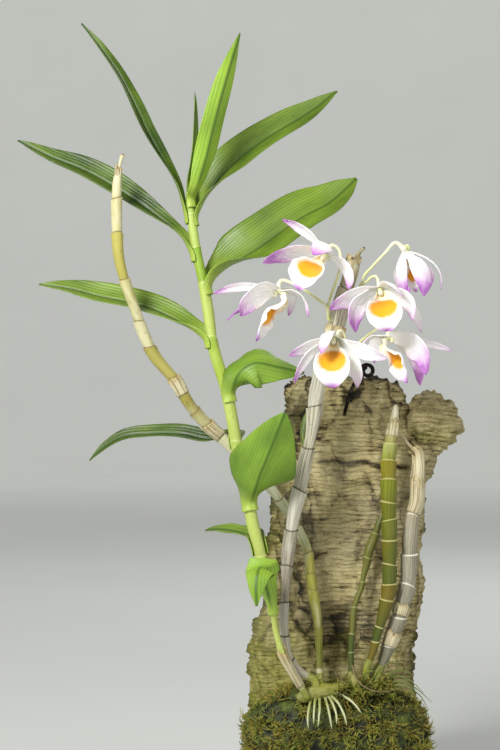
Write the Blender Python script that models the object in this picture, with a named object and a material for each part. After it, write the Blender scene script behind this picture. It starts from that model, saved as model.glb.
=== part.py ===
"""A dendrobium orchid in flower, grown on a standing piece of cork bark with moss round its foot.

The origin is the middle of the bark's sawn foot. +Z is up, +X is to the right of someone who faces
the flowers, and -Y is towards them. Lengths in this file are millimetres, and MM turns them to metres.
"""

import math

import bmesh
import bpy
from mathutils import Matrix, Vector, noise

MM = 0.001

# Clearances and walls
GAP = 0.35            # between a piece and the one that carries it
LEAF_GAP = 0.8        # between a leaf's clasping foot and the stem
BLADE = 0.8           # thickness of leaves and petals
WEAVE = 8             # steps of a smooth curve between two of its given points

# Cork bark: (height, left edge, right edge) of its outline, then its depths
BARK_OUTLINE = (
    (0, -52, 50), (18, -52, 50), (44, -51, 48), (66, -50, 46), (80, -50, 46), (92, -46, 48),
    (103, -42, 51), (125, -41, 51), (142, -39, 51), (160, -36, 52), (176, -35, 54), (186, -33, 58),
    (197, -32, 61), (205, -31, 50), (214, -31, 42), (224, -30, 42), (232, -29, 40), (240, -24, 33),
)
BARK_HEIGHT = 240
BARK_FRONT_FOOT, BARK_FRONT_TOP = 27, 20      # how far the front stands out of the middle plane
BARK_BACK_FOOT, BARK_BACK_TOP = 36, 12        # how far the back does
BARK_ROUND, BARK_ROWS = 34, 26
RIDGE = 3.2                                   # height of the bark's ridges
KNOT_AT, KNOT_SIZE = Vector((58, -4, 215)), Vector((17, 14, 17))
HOLLOW_AT, HOLLOW_DEPTH = Vector((2, 0, 90)), 8

# Moss cushion
MOSS_AT, MOSS_SIZE = Vector((0, -21, 27)), Vector((55, 36, 36))
MOSS_FOOT = 3                                 # its lowest point, clear of what the bark stands on
MOSS_LUMP = 3.0

# Hanger wire
WIRE = 1.15
WIRE_LINE = ((4.8, -10, 217), (4.8, -20, 219.5), (5.5, -27.5, 224), (8, -29.5, 233), (12, -26, 241))
CURL_AT, CURL_RADIUS, CURL_TURNS, CURL_STEPS = Vector((18.3, -23, 245.4)), 4.2, 1.3, 14
CURL_START = 1.12                             # where its curl begins, in half turns from +X
CURL_TIGHTENS, CURL_DEPTH = 0.55, 3           # share of its radius that it loses, and how far back it goes

# Shape of an internode: (share of its length, share of the cane's radius)
JOINTED = ((0.06, 0.90), (0.95, 1.09))
SMOOTH = ((0.05, 0.99), (0.97, 1.03))

# Leafy cane
STEM_LINE = (
    (-20.5, -57, 61.8), (-24, -59, 68), (-28.1, -61, 75.1), (-31.5, -62.5, 81.6), (-34.1, -63, 88.6),
    (-36.4, -63, 97.1), (-37.8, -63, 107.4), (-41, -62.5, 122.8), (-44.3, -61.5, 137.1),
    (-47, -60.5, 148.4), (-49.9, -59.5, 159.8), (-51.9, -58.5, 171.3), (-54.2, -57.5, 182.7),
    (-56.7, -56.5, 194.1), (-59.1, -55.5, 205.6), (-61.2, -54.5, 217.1), (-63.4, -53.5, 228.6),
    (-66, -52.5, 239), (-70, -51.5, 251.1), (-73.1, -50.5, 263.2), (-74.4, -49.5, 274.8),
    (-76.2, -48.5, 286.4), (-78.3, -47.5, 298), (-81, -46.5, 309.6), (-83.1, -45.5, 321.3),
    (-84.7, -44.5, 331.8), (-85.6, -43.5, 340.6), (-85.9, -43, 349.5),
)
STEM_INTERNODES = (23, 26, 33, 31, 35, 29, 32, 31.5, 20.5, 20, 12.5)
STEM_GIRTH = (
    (0, 1.9), (0.08, 1.9), (0.16, 1.7), (0.21, 2.4), (0.27, 3.4), (0.45, 3.5), (0.6, 3.4), (0.79, 3.2),
    (0.87, 2.8), (0.95, 2.7), (1, 2.2),
)
CLASP = 5                                     # height of a leaf's foot round the stem
UNFOLDS = 20                                  # length above it over which the leaf opens out
LEAF_ROWS_BIAS = 1.4                          # above 1, a leaf's rows lie closer at its foot
LANCE = ((0.5, 1), (0.72, 0.87), (0.9, 0.45), (1, 0.04))
OVATE = ((0.42, 1), (0.62, 0.93), (0.84, 0.5), (1, 0.05))

# Rhizome: the radius that each cane starts with
STUB_RADII = {
    "flowering_cane": 2.2, "leafy_cane": 1.8, "bare_cane": 1.85,
    "green_cane": 1.8, "thin_cane": 1.5, "dry_cane": 2.5,
}

# Flowers
TEPAL_WIDTHS = ((0, 0.34), (0.15, 0.5), (0.5, 1), (0.72, 0.94), (0.9, 0.5), (1, 0.08))
LIP_WIDTHS = ((0, 8.5), (0.22, 13), (0.42, 21), (0.58, 24), (0.74, 21), (0.88, 11), (1, 1.2))
LIP_CURLS = ((0, 215), (0.22, 185), (0.45, 125), (0.7, 100), (1, 60))
LIP_START = 3.2
HEART = 2.3                                   # radius of the flower's heart, which carries its petals
COLUMN_LENGTH, COLUMN_RADIUS = 6.5, 1.1
PEDICEL = 0.85
FORK = 1.3                                    # radius of the knob at the end of a shared stalk
FORKS = {                                     # the cane's height at each shared stalk, and its knob's place
    "left": (273.5, Vector((-6.1, -54, 282.7))),
    "right": (290.5, Vector((13.7, -50, 295.6))),
    "low": (255, Vector((5.2, -50.2, 257.2))),
}


def clear_scene():
    """Removes whatever the open file holds."""
    for thing in list(bpy.data.objects):
        bpy.data.objects.remove(thing)


def finish_of(name, colour, roughness, metallic=0.0):
    """A material with one colour, roughness and metallic value."""
    material = bpy.data.materials.new(name)
    material.use_nodes = True
    shader = material.node_tree.nodes["Principled BSDF"]
    shader.inputs["Base Color"].default_value = (*colour, 1)
    shader.inputs["Roughness"].default_value = roughness
    shader.inputs["Metallic"].default_value = metallic
    return material


def profile(table, share):
    """The value at share of a table of (share, value), smooth through every row."""
    for (a, low), (b, high) in zip(table, table[1:]):
        if share <= b:
            break
    index = [row[0] for row in table].index(a)
    before = table[max(index - 1, 0)]
    after = table[min(index + 2, len(table) - 1)]
    slope_in = (high - before[1]) / (b - before[0])
    slope_out = (after[1] - low) / (after[0] - a)
    span, t = b - a, (share - a) / (b - a)
    t2, t3 = t * t, t * t * t
    eased = (2 * t3 - 3 * t2 + 1) * low + (3 * t2 - 2 * t3) * high
    return eased + span * ((t3 - 2 * t2 + t) * slope_in + (t3 - t2) * slope_out)


def through(points, steps=WEAVE):
    """Points of a centripetal Catmull-Rom curve through the given ones."""
    given = [Vector(point) for point in points]
    ends = [2 * given[0] - given[1], *given, 2 * given[-1] - given[-2]]
    line = []
    for a, b, c, d in zip(ends, ends[1:], ends[2:], ends[3:]):
        t0 = 0.0
        t1 = t0 + math.sqrt((b - a).length)
        t2 = t1 + math.sqrt((c - b).length)
        t3 = t2 + math.sqrt((d - c).length)
        for step in range(steps):
            t = t1 + (t2 - t1) * step / steps
            ab = a.lerp(b, (t - t0) / (t1 - t0))
            bc = b.lerp(c, (t - t1) / (t2 - t1))
            cd = c.lerp(d, (t - t2) / (t3 - t2))
            abc = ab.lerp(bc, (t - t0) / (t2 - t0))
            bcd = bc.lerp(cd, (t - t1) / (t3 - t1))
            line.append(abc.lerp(bcd, (t - t1) / (t2 - t1)))
    return [*line, given[-1]]


class Route:
    """A smooth line through given points, measured along its length."""

    def __init__(self, points):
        self.line = through(points)
        self.marks = [0.0]
        for a, b in zip(self.line, self.line[1:]):
            self.marks.append(self.marks[-1] + (b - a).length)
        self.length = self.marks[-1]

    def at(self, distance):
        """(place, direction) at a distance along the line."""
        distance = min(max(distance, 0), self.length)
        index = 1
        while self.marks[index] < distance and index < len(self.marks) - 1:
            index += 1
        a, b = self.line[index - 1], self.line[index]
        share = (distance - self.marks[index - 1]) / (self.marks[index] - self.marks[index - 1])
        return a.lerp(b, share), (b - a).normalized()

    def distance_at(self, height):
        """How far along the line it first reaches a height."""
        index = next(index for index, place in enumerate(self.line) if place.z >= height)
        a, b = self.line[index - 1], self.line[index]
        before, after = self.marks[index - 1], self.marks[index]
        return before + (after - before) * (height - a.z) / (b.z - a.z)

    def frames(self, face, shares):
        """(place, direction, face) at shares of the length, the face carried along without turning."""
        found = []
        for share in shares:
            place, direction = self.at(self.length * share)
            face = (face - direction * face.dot(direction)).normalized()
            found.append((place, direction, face))
        return found


def node(name, mesh_or_bmesh, material):
    """An object of that name in the scene, with one material, shaded smooth."""
    mesh = mesh_or_bmesh
    if isinstance(mesh_or_bmesh, bmesh.types.BMesh):
        mesh = bpy.data.meshes.new(name)
        mesh_or_bmesh.to_mesh(mesh)
        mesh_or_bmesh.free()
    thing = bpy.data.objects.new(name, mesh)
    bpy.context.scene.collection.objects.link(thing)
    mesh.materials.clear()
    mesh.materials.append(material)
    mesh.shade_smooth()
    mesh.set_sharp_from_angle(angle=math.radians(50))
    return thing


def evaluated_mesh(thing):
    """A new mesh of thing with its modifiers applied."""
    graph = bpy.context.evaluated_depsgraph_get()
    return bpy.data.meshes.new_from_object(thing.evaluated_get(graph), depsgraph=graph)


def apply_modifiers(thing):
    """Makes thing's evaluated mesh its own."""
    mesh = evaluated_mesh(thing)
    thing.modifiers.clear()
    thing.data = mesh
    return thing


def boolean(thing, others, operation):
    """Joins others to thing, or cuts them from it, in one Boolean, and removes them."""
    group = bpy.data.collections.new(thing.name + "_tools")
    for other in others:
        apply_modifiers(other)
        group.objects.link(other)
    apply_modifiers(thing)
    modifier = thing.modifiers.new("join", "BOOLEAN")
    modifier.operation = operation
    modifier.operand_type = "COLLECTION"
    modifier.collection = group
    modifier.solver = "EXACT"
    bpy.context.view_layer.update()
    apply_modifiers(thing)
    for other in others:
        bpy.data.objects.remove(other)
    bpy.data.collections.remove(group)
    return keep_largest(thing)


def keep_largest(thing):
    """Drops loose scraps that a cut leaves, and merges points that lie together."""
    bm = bmesh.new()
    bm.from_mesh(thing.data)
    bmesh.ops.remove_doubles(bm, verts=bm.verts, dist=0.004 * MM)
    groups, seen = [], set()
    for first in bm.verts:
        if first in seen:
            continue
        group, waiting = [], [first]
        seen.add(first)
        while waiting:
            vert = waiting.pop()
            group.append(vert)
            for edge in vert.link_edges:
                other = edge.other_vert(vert)
                if other not in seen:
                    seen.add(other)
                    waiting.append(other)
        groups.append(group)
    groups.sort(key=len)
    for group in groups[:-1]:
        bmesh.ops.delete(bm, geom=group, context="VERTS")
    bm.to_mesh(thing.data)
    bm.free()
    return thing


def swollen(thing, by):
    """A copy of thing whose surface lies further out, for cutting its clearance from a neighbour."""
    copy = bpy.data.objects.new(thing.name + "_clearance", evaluated_mesh(thing))
    bpy.context.scene.collection.objects.link(copy)
    bm = bmesh.new()
    bm.from_mesh(copy.data)
    bm.normal_update()
    for vert in bm.verts:
        vert.co += vert.normal * by * MM * vert.calc_shell_factor()
    bm.to_mesh(copy.data)
    bm.free()
    return copy


def tube(name, points, radii, material, sides=8):
    """A closed round bar through points, with a radius at each."""
    curve = bpy.data.curves.new(name, "CURVE")
    curve.dimensions = "3D"
    curve.bevel_depth = MM
    curve.bevel_resolution = sides // 2 - 2
    curve.use_fill_caps = True
    spline = curve.splines.new("POLY")
    spline.points.add(len(points) - 1)
    for knot, point, radius in zip(spline.points, points, radii):
        knot.co = (*(point * MM), 1)
        knot.radius = radius
    source = bpy.data.objects.new(name + "_line", curve)
    bpy.context.scene.collection.objects.link(source)
    bpy.context.view_layer.update()
    bm = bmesh.new()
    mesh = evaluated_mesh(source)
    bpy.data.objects.remove(source)
    bm.from_mesh(mesh)
    bmesh.ops.remove_doubles(bm, verts=bm.verts, dist=0.002 * MM)
    bmesh.ops.recalc_face_normals(bm, faces=bm.faces)
    return node(name, bm, material)


def ball(name, centre, size, material, subdivisions=1, lump=0.0, grain=8.0):
    """An icosphere of half sizes size, roughened by lump millimetres of noise."""
    bm = bmesh.new()
    bmesh.ops.create_icosphere(bm, subdivisions=subdivisions, radius=1)
    for vert in bm.verts:
        place = centre + vert.co * size
        push = lump * noise.fractal(place / grain, 0.9, 2.0, 3)
        vert.co = (place + vert.co * push) * MM
    return node(name, bm, material)


def blade(name, spine, widths, curls, face, material, rows=8, cols=4, keel=0, shows=None, out=0, bias=1):
    """A leaf, petal or lip: a grid bent along its spine and curled across it, then thickened.

    widths is (share, millimetres), curls is (share, degrees of arc across), face is the inner side's
    direction at the root, shows the direction that side turns to by two fifths of the length, and
    keel the degrees by which each half rises from the midrib.
    """
    route = Route(spine)
    stations = route.frames(face, [(row / rows) ** bias for row in range(rows + 1)])
    bm = bmesh.new()
    bmesh.ops.create_grid(bm, x_segments=rows, y_segments=cols, size=0.5)
    for vert in bm.verts:
        row, across = round((vert.co.x + 0.5) * rows), vert.co.y
        share = (row / rows) ** bias
        place, along, inner = stations[row]
        if shows is not None:
            wanted = (shows - along * shows.dot(along)).normalized()
            turn = math.atan2(inner.cross(wanted).dot(along), inner.dot(wanted))
            ease = min(share / 0.4, 1)
            inner = Matrix.Rotation(turn * ease * ease * (3 - 2 * ease), 3, along) @ inner
        side = inner.cross(along)
        width = profile(widths, share)
        bend = math.radians(profile(curls, share))
        angle = across * bend
        arc = width / bend
        rise = math.radians(keel) * min(share / 0.25, 1)
        offset = side * (arc * math.sin(angle)) + inner * (arc * (1 - math.cos(angle)))
        offset += inner * (abs(across) * width * math.sin(rise))
        vert.co = (place + offset) * MM
    bmesh.ops.triangulate(bm, faces=bm.faces)
    thing = node(name, bm, material)
    solid = thing.modifiers.new("thickness", "SOLIDIFY")
    solid.thickness = BLADE * MM
    solid.offset = out
    return thing


def edge_at(height, column):
    """The bark's left (column 1) or right (column 2) edge at a height."""
    return profile([(row[0], row[column]) for row in BARK_OUTLINE], height)


def bark_relief(across, height, front):
    """How far the bark's skin stands out at a place, in millimetres."""
    place = Vector((across / 11, height / 17, 3.7 if front else 9.1))
    ridges = RIDGE * noise.fractal(place, 0.8, 2.1, 3)
    if not front:
        return 0.5 * ridges
    dx, dz = (across - HOLLOW_AT.x) / 24, (height - HOLLOW_AT.z) / 17
    knobs = 1 - 0.7 * max(0, noise.noise(Vector((across / 7, height / 7, 0))))
    return ridges - HOLLOW_DEPTH * math.exp(-(dx * dx + dz * dz) ** 2) * knobs


def cork_bark(material):
    """The standing piece of cork bark: a grid wrapped round into a closed skin with a sawn foot."""
    bm = bmesh.new()
    bmesh.ops.create_grid(bm, x_segments=BARK_ROUND, y_segments=BARK_ROWS, size=0.5)
    for vert in bm.verts:
        turn = -2 * math.pi * (vert.co.x + 0.5)
        share = vert.co.y + 0.5
        height = BARK_HEIGHT * share
        left, right = edge_at(height, 1), edge_at(height, 2)
        middle, half = (left + right) / 2, (right - left) / 2
        c, s = math.cos(turn), math.sin(turn)
        across = middle + half * math.copysign(abs(c) ** 0.75, c)
        front = s < 0
        foot, top = (BARK_FRONT_FOOT, BARK_FRONT_TOP) if front else (BARK_BACK_FOOT, BARK_BACK_TOP)
        depth = (foot + (top - foot) * share) * math.copysign(abs(s) ** 0.7, s)
        push = bark_relief(across, height, front) * min(1, 4 * share) * (1 if share < 1 else 0.3)
        rim = 2.5 * noise.noise(Vector((across / 9, 0, 5))) * share ** 8
        sink = 0 if share < 1 else 0.12
        across += (middle - across) * sink + push * c
        depth += push * s - depth * sink
        vert.co = Vector((across, depth, height + rim - (3 if share == 1 else 0))) * MM
    for vert in bm.verts:
        if vert.co.z < 0.5 * MM:
            vert.co.z = 0
    bmesh.ops.remove_doubles(bm, verts=bm.verts, dist=0.01 * MM)
    bmesh.ops.holes_fill(bm, edges=bm.edges, sides=0)
    cap = max(bm.faces, key=lambda face: face.calc_center_median().z if len(face.verts) > 4 else -1)
    bmesh.ops.poke(bm, faces=[cap], offset=2 * MM)
    bmesh.ops.recalc_face_normals(bm, faces=bm.faces)
    bmesh.ops.triangulate(bm, faces=bm.faces)
    bark = node("cork_bark", bm, material)
    knot = ball("knot", KNOT_AT, KNOT_SIZE, material, subdivisions=2, lump=0.2, grain=9)
    return boolean(bark, [knot], "UNION")


def moss_cushion(material, neighbours):
    """The moss on the bark's front foot, with a plain hole for each piece that stands in it."""
    bm = bmesh.new()
    bmesh.ops.create_uvsphere(bm, u_segments=26, v_segments=14, radius=1)
    for vert in bm.verts:
        box = Vector([math.copysign(abs(value) ** 0.8, value) for value in vert.co])
        place = MOSS_AT + box * MOSS_SIZE
        push = MOSS_LUMP * noise.fractal(place / 9, 0.7, 2.2, 3)
        vert.co = (place + vert.co * push) * MM
    low = Vector((0, 0, MOSS_FOOT * MM))
    sawn = bmesh.ops.bisect_plane(
        bm, geom=[*bm.verts, *bm.edges, *bm.faces], plane_co=low, plane_no=(0, 0, 1), clear_inner=True
    )
    rim = [item for item in sawn["geom_cut"] if isinstance(item, bmesh.types.BMEdge)]
    bmesh.ops.edgeloop_fill(bm, edges=rim)
    bmesh.ops.recalc_face_normals(bm, faces=bm.faces)
    bmesh.ops.triangulate(bm, faces=bm.faces)
    moss = node("moss_cushion", bm, material)
    return boolean(moss, [swollen(thing, GAP + 0.1) for thing in neighbours], "DIFFERENCE")


def hanger_wire(material):
    """The bent wire that goes into the bark near its top and ends in an open curl."""
    points = through(WIRE_LINE, 3)
    for step in range(CURL_STEPS + 1):
        share = step / CURL_STEPS
        turn = math.pi * (CURL_START - 2 * CURL_TURNS * share)
        reach = CURL_RADIUS * (1 - CURL_TIGHTENS * share)
        across, up = reach * math.cos(turn), reach * math.sin(turn)
        points.append(CURL_AT + Vector((across, CURL_DEPTH * share, up)))
    return tube("hanger_wire", points, [WIRE] * len(points), material, sides=6)


def cane(name, line, internodes, girth, material, shape=JOINTED, sides=8):
    """(object, route) of a cane: a tube that swells to a rim at the top of each internode."""
    route = Route(line)
    stretch = route.length / sum(internodes)
    points, radii = [route.at(0)[0]], [profile(girth, 0)]
    start = 0
    for length in internodes:
        for share, swell in shape:
            distance = (start + share * length) * stretch
            points.append(route.at(distance)[0])
            radii.append(swell * profile(girth, distance / route.length))
        start += length
    points.append(route.at(route.length)[0])
    radii.append(profile(girth, 1))
    return tube(name, points, radii, material, sides), route


def canes(papery, yellowing, green, leafy):
    """The plant's six canes by name, each with its route."""
    made = {}
    made["flowering_cane"] = cane(
        "flowering_cane",
        (
            (-16.9, -50, 68.3), (-22.7, -51, 72.1), (-27.1, -52, 78), (-30, -53, 84.5),
            (-31.1, -53, 92), (-31.6, -53, 101.8), (-31.1, -53, 111.6), (-30.3, -52, 120.7),
            (-29.7, -52, 131.1), (-28.9, -51, 140.8), (-27.3, -51, 151.8), (-25, -51, 165.1),
            (-22.1, -51, 177.8), (-19.7, -51, 191), (-16.8, -51, 202.6), (-14.6, -51, 215.9),
            (-13.2, -50, 228.6), (-10.8, -50, 241.3), (-7.1, -49, 252.8), (-3, -48, 263.8),
            (-0.3, -47.5, 273.7), (1.7, -47, 283.5), (4.6, -46, 292.8), (7.3, -45, 302.2),
            (9.1, -44, 310.3), (15.3, -42, 316.8),
        ),
        (15, 15.5, 18.5, 21, 22, 23.5, 25, 24, 22, 25.5, 23, 18.5, 9.5),
        (
            (0, 2.3), (0.09, 2.7), (0.15, 2.8), (0.2, 2.3), (0.24, 2.7), (0.28, 3.9), (0.33, 4.0),
            (0.37, 3.8), (0.42, 4.3), (0.465, 4.3), (0.51, 3.9), (0.555, 3.4), (0.6, 4.2), (0.645, 4.6),
            (0.69, 4.2), (0.78, 5.1), (0.83, 5.4), (0.875, 4.8), (0.9, 4.1), (0.93, 4.0), (0.955, 4.1),
            (0.965, 1.6), (1, 0.8),
        ),
        papery,
    )
    made["leafy_cane"] = cane(
        "leafy_cane", STEM_LINE, STEM_INTERNODES, STEM_GIRTH, leafy, shape=SMOOTH
    )
    made["bare_cane"] = cane(
        "bare_cane",
        (
            (-10.4, -44, 68.5), (-10.8, -42, 80.2), (-11.1, -41.5, 91.8), (-12.1, -41, 103.4),
            (-13.7, -40, 113.7), (-15.5, -39, 124.7), (-16.4, -38, 134), (-18, -37, 142.6),
            (-22.4, -36, 151.9), (-27.9, -36, 161.8), (-33.8, -37, 170.6), (-42.3, -39, 181.2),
            (-51, -41, 190.3), (-60, -43, 199.1), (-66.1, -44, 205.6), (-72.5, -44.5, 211.4),
            (-78.8, -45, 217.2), (-84, -45.5, 223.3), (-88.4, -46, 229.7), (-94.2, -46, 239.5),
            (-100.6, -46, 247.1), (-106.3, -46, 254), (-110.7, -46, 262.1), (-114.2, -46, 270.8),
            (-117.1, -46, 279.5), (-120.5, -46, 288.8), (-124.3, -45.5, 299.8), (-127, -45, 310.9),
            (-128, -44.5, 322.5), (-128.4, -44, 335.9), (-128.4, -44, 347.5), (-127.9, -43.5, 357.4),
            (-127.2, -43, 363.2), (-125.1, -42, 370.9),
        ),
        (4, 23, 22.5, 9, 12.5, 17.5, 19, 19, 19, 23, 10.5, 22.5, 23, 15.5, 26.5, 26.5, 20.5, 17.5, 8),
        (
            (0, 1.95), (0.05, 2.1), (0.09, 2.6), (0.13, 3.0), (0.22, 2.9), (0.27, 2.8), (0.36, 3.2),
            (0.46, 3.6), (0.53, 3.5), (0.6, 3.4), (0.68, 3.5), (0.72, 3.2), (0.8, 3.1), (0.88, 3.2),
            (0.93, 3.0), (0.96, 2.3), (0.975, 1.0), (1, 1.2),
        ),
        yellowing,
    )
    made["green_cane"] = cane(
        "green_cane",
        (
            (18.1, -44, 76.4), (20.7, -44, 83.4), (23.2, -43.5, 93.2), (25.7, -43, 101.8),
            (28.1, -42.5, 110.5), (29.7, -42, 119.2), (30.2, -41, 132.5), (30.3, -41, 147),
            (30.1, -40, 158.6), (29.7, -40, 170.2), (29.9, -40, 181.9), (29.7, -39.5, 192.3),
            (30.7, -39, 202.2), (32.1, -38, 210.9), (33.2, -37.5, 217.9), (34.1, -37, 224.9),
        ),
        (12.5, 9, 16.5, 9, 11.5, 14.5, 11.5, 10.5, 13, 11, 10.5, 10.5, 11.5),
        (
            (0, 1.9), (0.05, 2.2), (0.12, 2.6), (0.18, 3.2), (0.24, 4.0), (0.3, 4.3), (0.4, 4.2),
            (0.5, 4.6), (0.57, 4.4), (0.65, 4.8), (0.72, 4.6), (0.79, 4.4), (0.85, 3.9), (0.91, 3.3),
            (0.955, 2.6), (1, 1.3),
        ),
        green,
    )
    made["thin_cane"] = cane(
        "thin_cane",
        (
            (7.7, -40, 68.9), (7.9, -38, 82.6), (8.8, -37, 95.4), (9.4, -36, 104.6), (11.2, -35, 111.5),
            (13.9, -34, 117.8), (15.3, -33, 124.8), (17.2, -32, 131.7), (18.6, -32, 139.3),
            (21.4, -31, 146.3), (23.4, -31, 152.7), (26.4, -31, 160.9),
        ),
        (13, 11, 16, 16, 15, 15, 12),
        (
            (0, 1.6), (0.35, 1.8), (0.5, 1.6), (0.62, 1.7), (0.7, 2.4), (0.76, 2.8), (0.87, 2.5),
            (0.94, 2.1), (1, 1.1),
        ),
        green,
    )
    made["dry_cane"] = cane(
        "dry_cane",
        (
            (24.8, -38, 72.1), (27.5, -37.5, 77.9), (30.1, -37, 85.4), (33.1, -36.5, 93.6),
            (36.3, -36, 102.8), (39, -35, 112.1), (41.1, -34.5, 120.2), (41.9, -34, 130.1),
            (42.3, -33, 140.6), (42.9, -32.5, 149.3), (43.9, -32, 159.2), (46.6, -31, 168),
            (47.2, -31, 181.4), (47.8, -31, 192), (46.9, -31, 197.9), (42.8, -31, 201.4),
            (38.7, -31, 206.7),
        ),
        (14.5, 18, 19, 19, 22.5, 20, 18, 13),
        (
            (0, 2.6), (0.045, 3.1), (0.1, 3.8), (0.16, 4.2), (0.23, 4.4), (0.3, 4.6), (0.39, 4.8),
            (0.48, 4.7), (0.55, 4.6), (0.62, 4.1), (0.69, 4.1), (0.78, 4.0), (0.84, 2.8), (0.88, 1.2),
            (1, 0.7),
        ),
        papery,
    )
    return made


def rhizome(material, grown):
    """The creeping stem that every cane rises from, with its roots and a stump, in one piece."""
    creeping = through(((-22, -52, 56), (-12, -50, 60), (-3, -46, 60), (8, -42, 60), (20, -41, 62)), 3)
    radii = [3.6 + 0.5 * math.sin(3 * k) for k in range(len(creeping))]
    body = tube("rhizome_and_roots", creeping, radii, material)
    limbs = []
    for name, (thing, route) in grown.items():
        foot, along = route.at(0)
        start = min(creeping, key=lambda place: (place - foot + 6 * along).length)
        ends = [start, foot - along * 4, foot - along * GAP]
        limbs.append(tube(name + "_stub", ends, [STUB_RADII[name]] * 3, material))
    stump = ((9.5, -46, 60), (9.5, -47, 66), (9.3, -47, 70))
    limbs.append(tube("stump", [Vector(p) for p in stump], [2.6, 2.9, 1.6], material))
    roots = (
        ((-15, -50, 58), (-17, -57, 52), (-18, -61, 40), (-17, -62, 30)),
        ((-11, -50, 58), (-11, -58, 52), (-12, -62, 41), (-13, -63, 34)),
        ((-8, -49, 58), (-6, -58, 51), (-4, -62, 42), (-2, -63, 33)),
        ((-5, -48, 58), (0, -57, 54), (4, -62, 46), (5, -63, 36)),
        ((-4, -47, 60), (3, -54, 58), (10, -59, 53), (16, -61, 46)),
    )
    for number, line in enumerate(roots):
        points = through(line, 1)
        radii = [1.1 - 0.5 * k / len(points) for k in range(len(points))]
        limbs.append(tube(f"root_{number}", points, radii, material, sides=6))
    return boolean(body, limbs, "UNION")


def leaf(
    name, stem, height, guides, width, material, shows, out=None, wrap=190, shape=LANCE, keel=16, base=0.82,
):
    """A leaf whose foot clasps the stem below a height and whose blade follows guides from there.

    base is the share of its width that it has where it has opened out.
    """
    foot_at = stem.distance_at(height) - CLASP
    centre, along = stem.at(foot_at)
    outwards = Vector(out) if out else Vector(guides[0]) - centre
    outwards = (outwards - along * outwards.dot(along)).normalized()
    reach = profile(STEM_GIRTH, foot_at / stem.length) * 1.03 + LEAF_GAP
    foot = centre + outwards * reach
    spine = [foot, foot + along * CLASP, *guides]
    length = Route(spine).length
    held, opened = CLASP / length, (CLASP + UNFOLDS) / length
    hug = math.radians(wrap) * reach
    widths = [(0, hug), (held, hug), (opened, max(base * width, 0.7 * hug))]
    widths += [(share, part * width) for share, part in shape if share > opened]
    between = (held + opened) / 2
    curls = ((0, wrap), (held, wrap), (between, 0.52 * wrap), (opened, 52), (0.65, 30), (1, 20))
    return blade(
        name, spine, widths, curls, -outwards, material, rows=9, cols=6, keel=keel,
        shows=Vector(shows), out=-1, bias=LEAF_ROWS_BIAS,
    )


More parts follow.
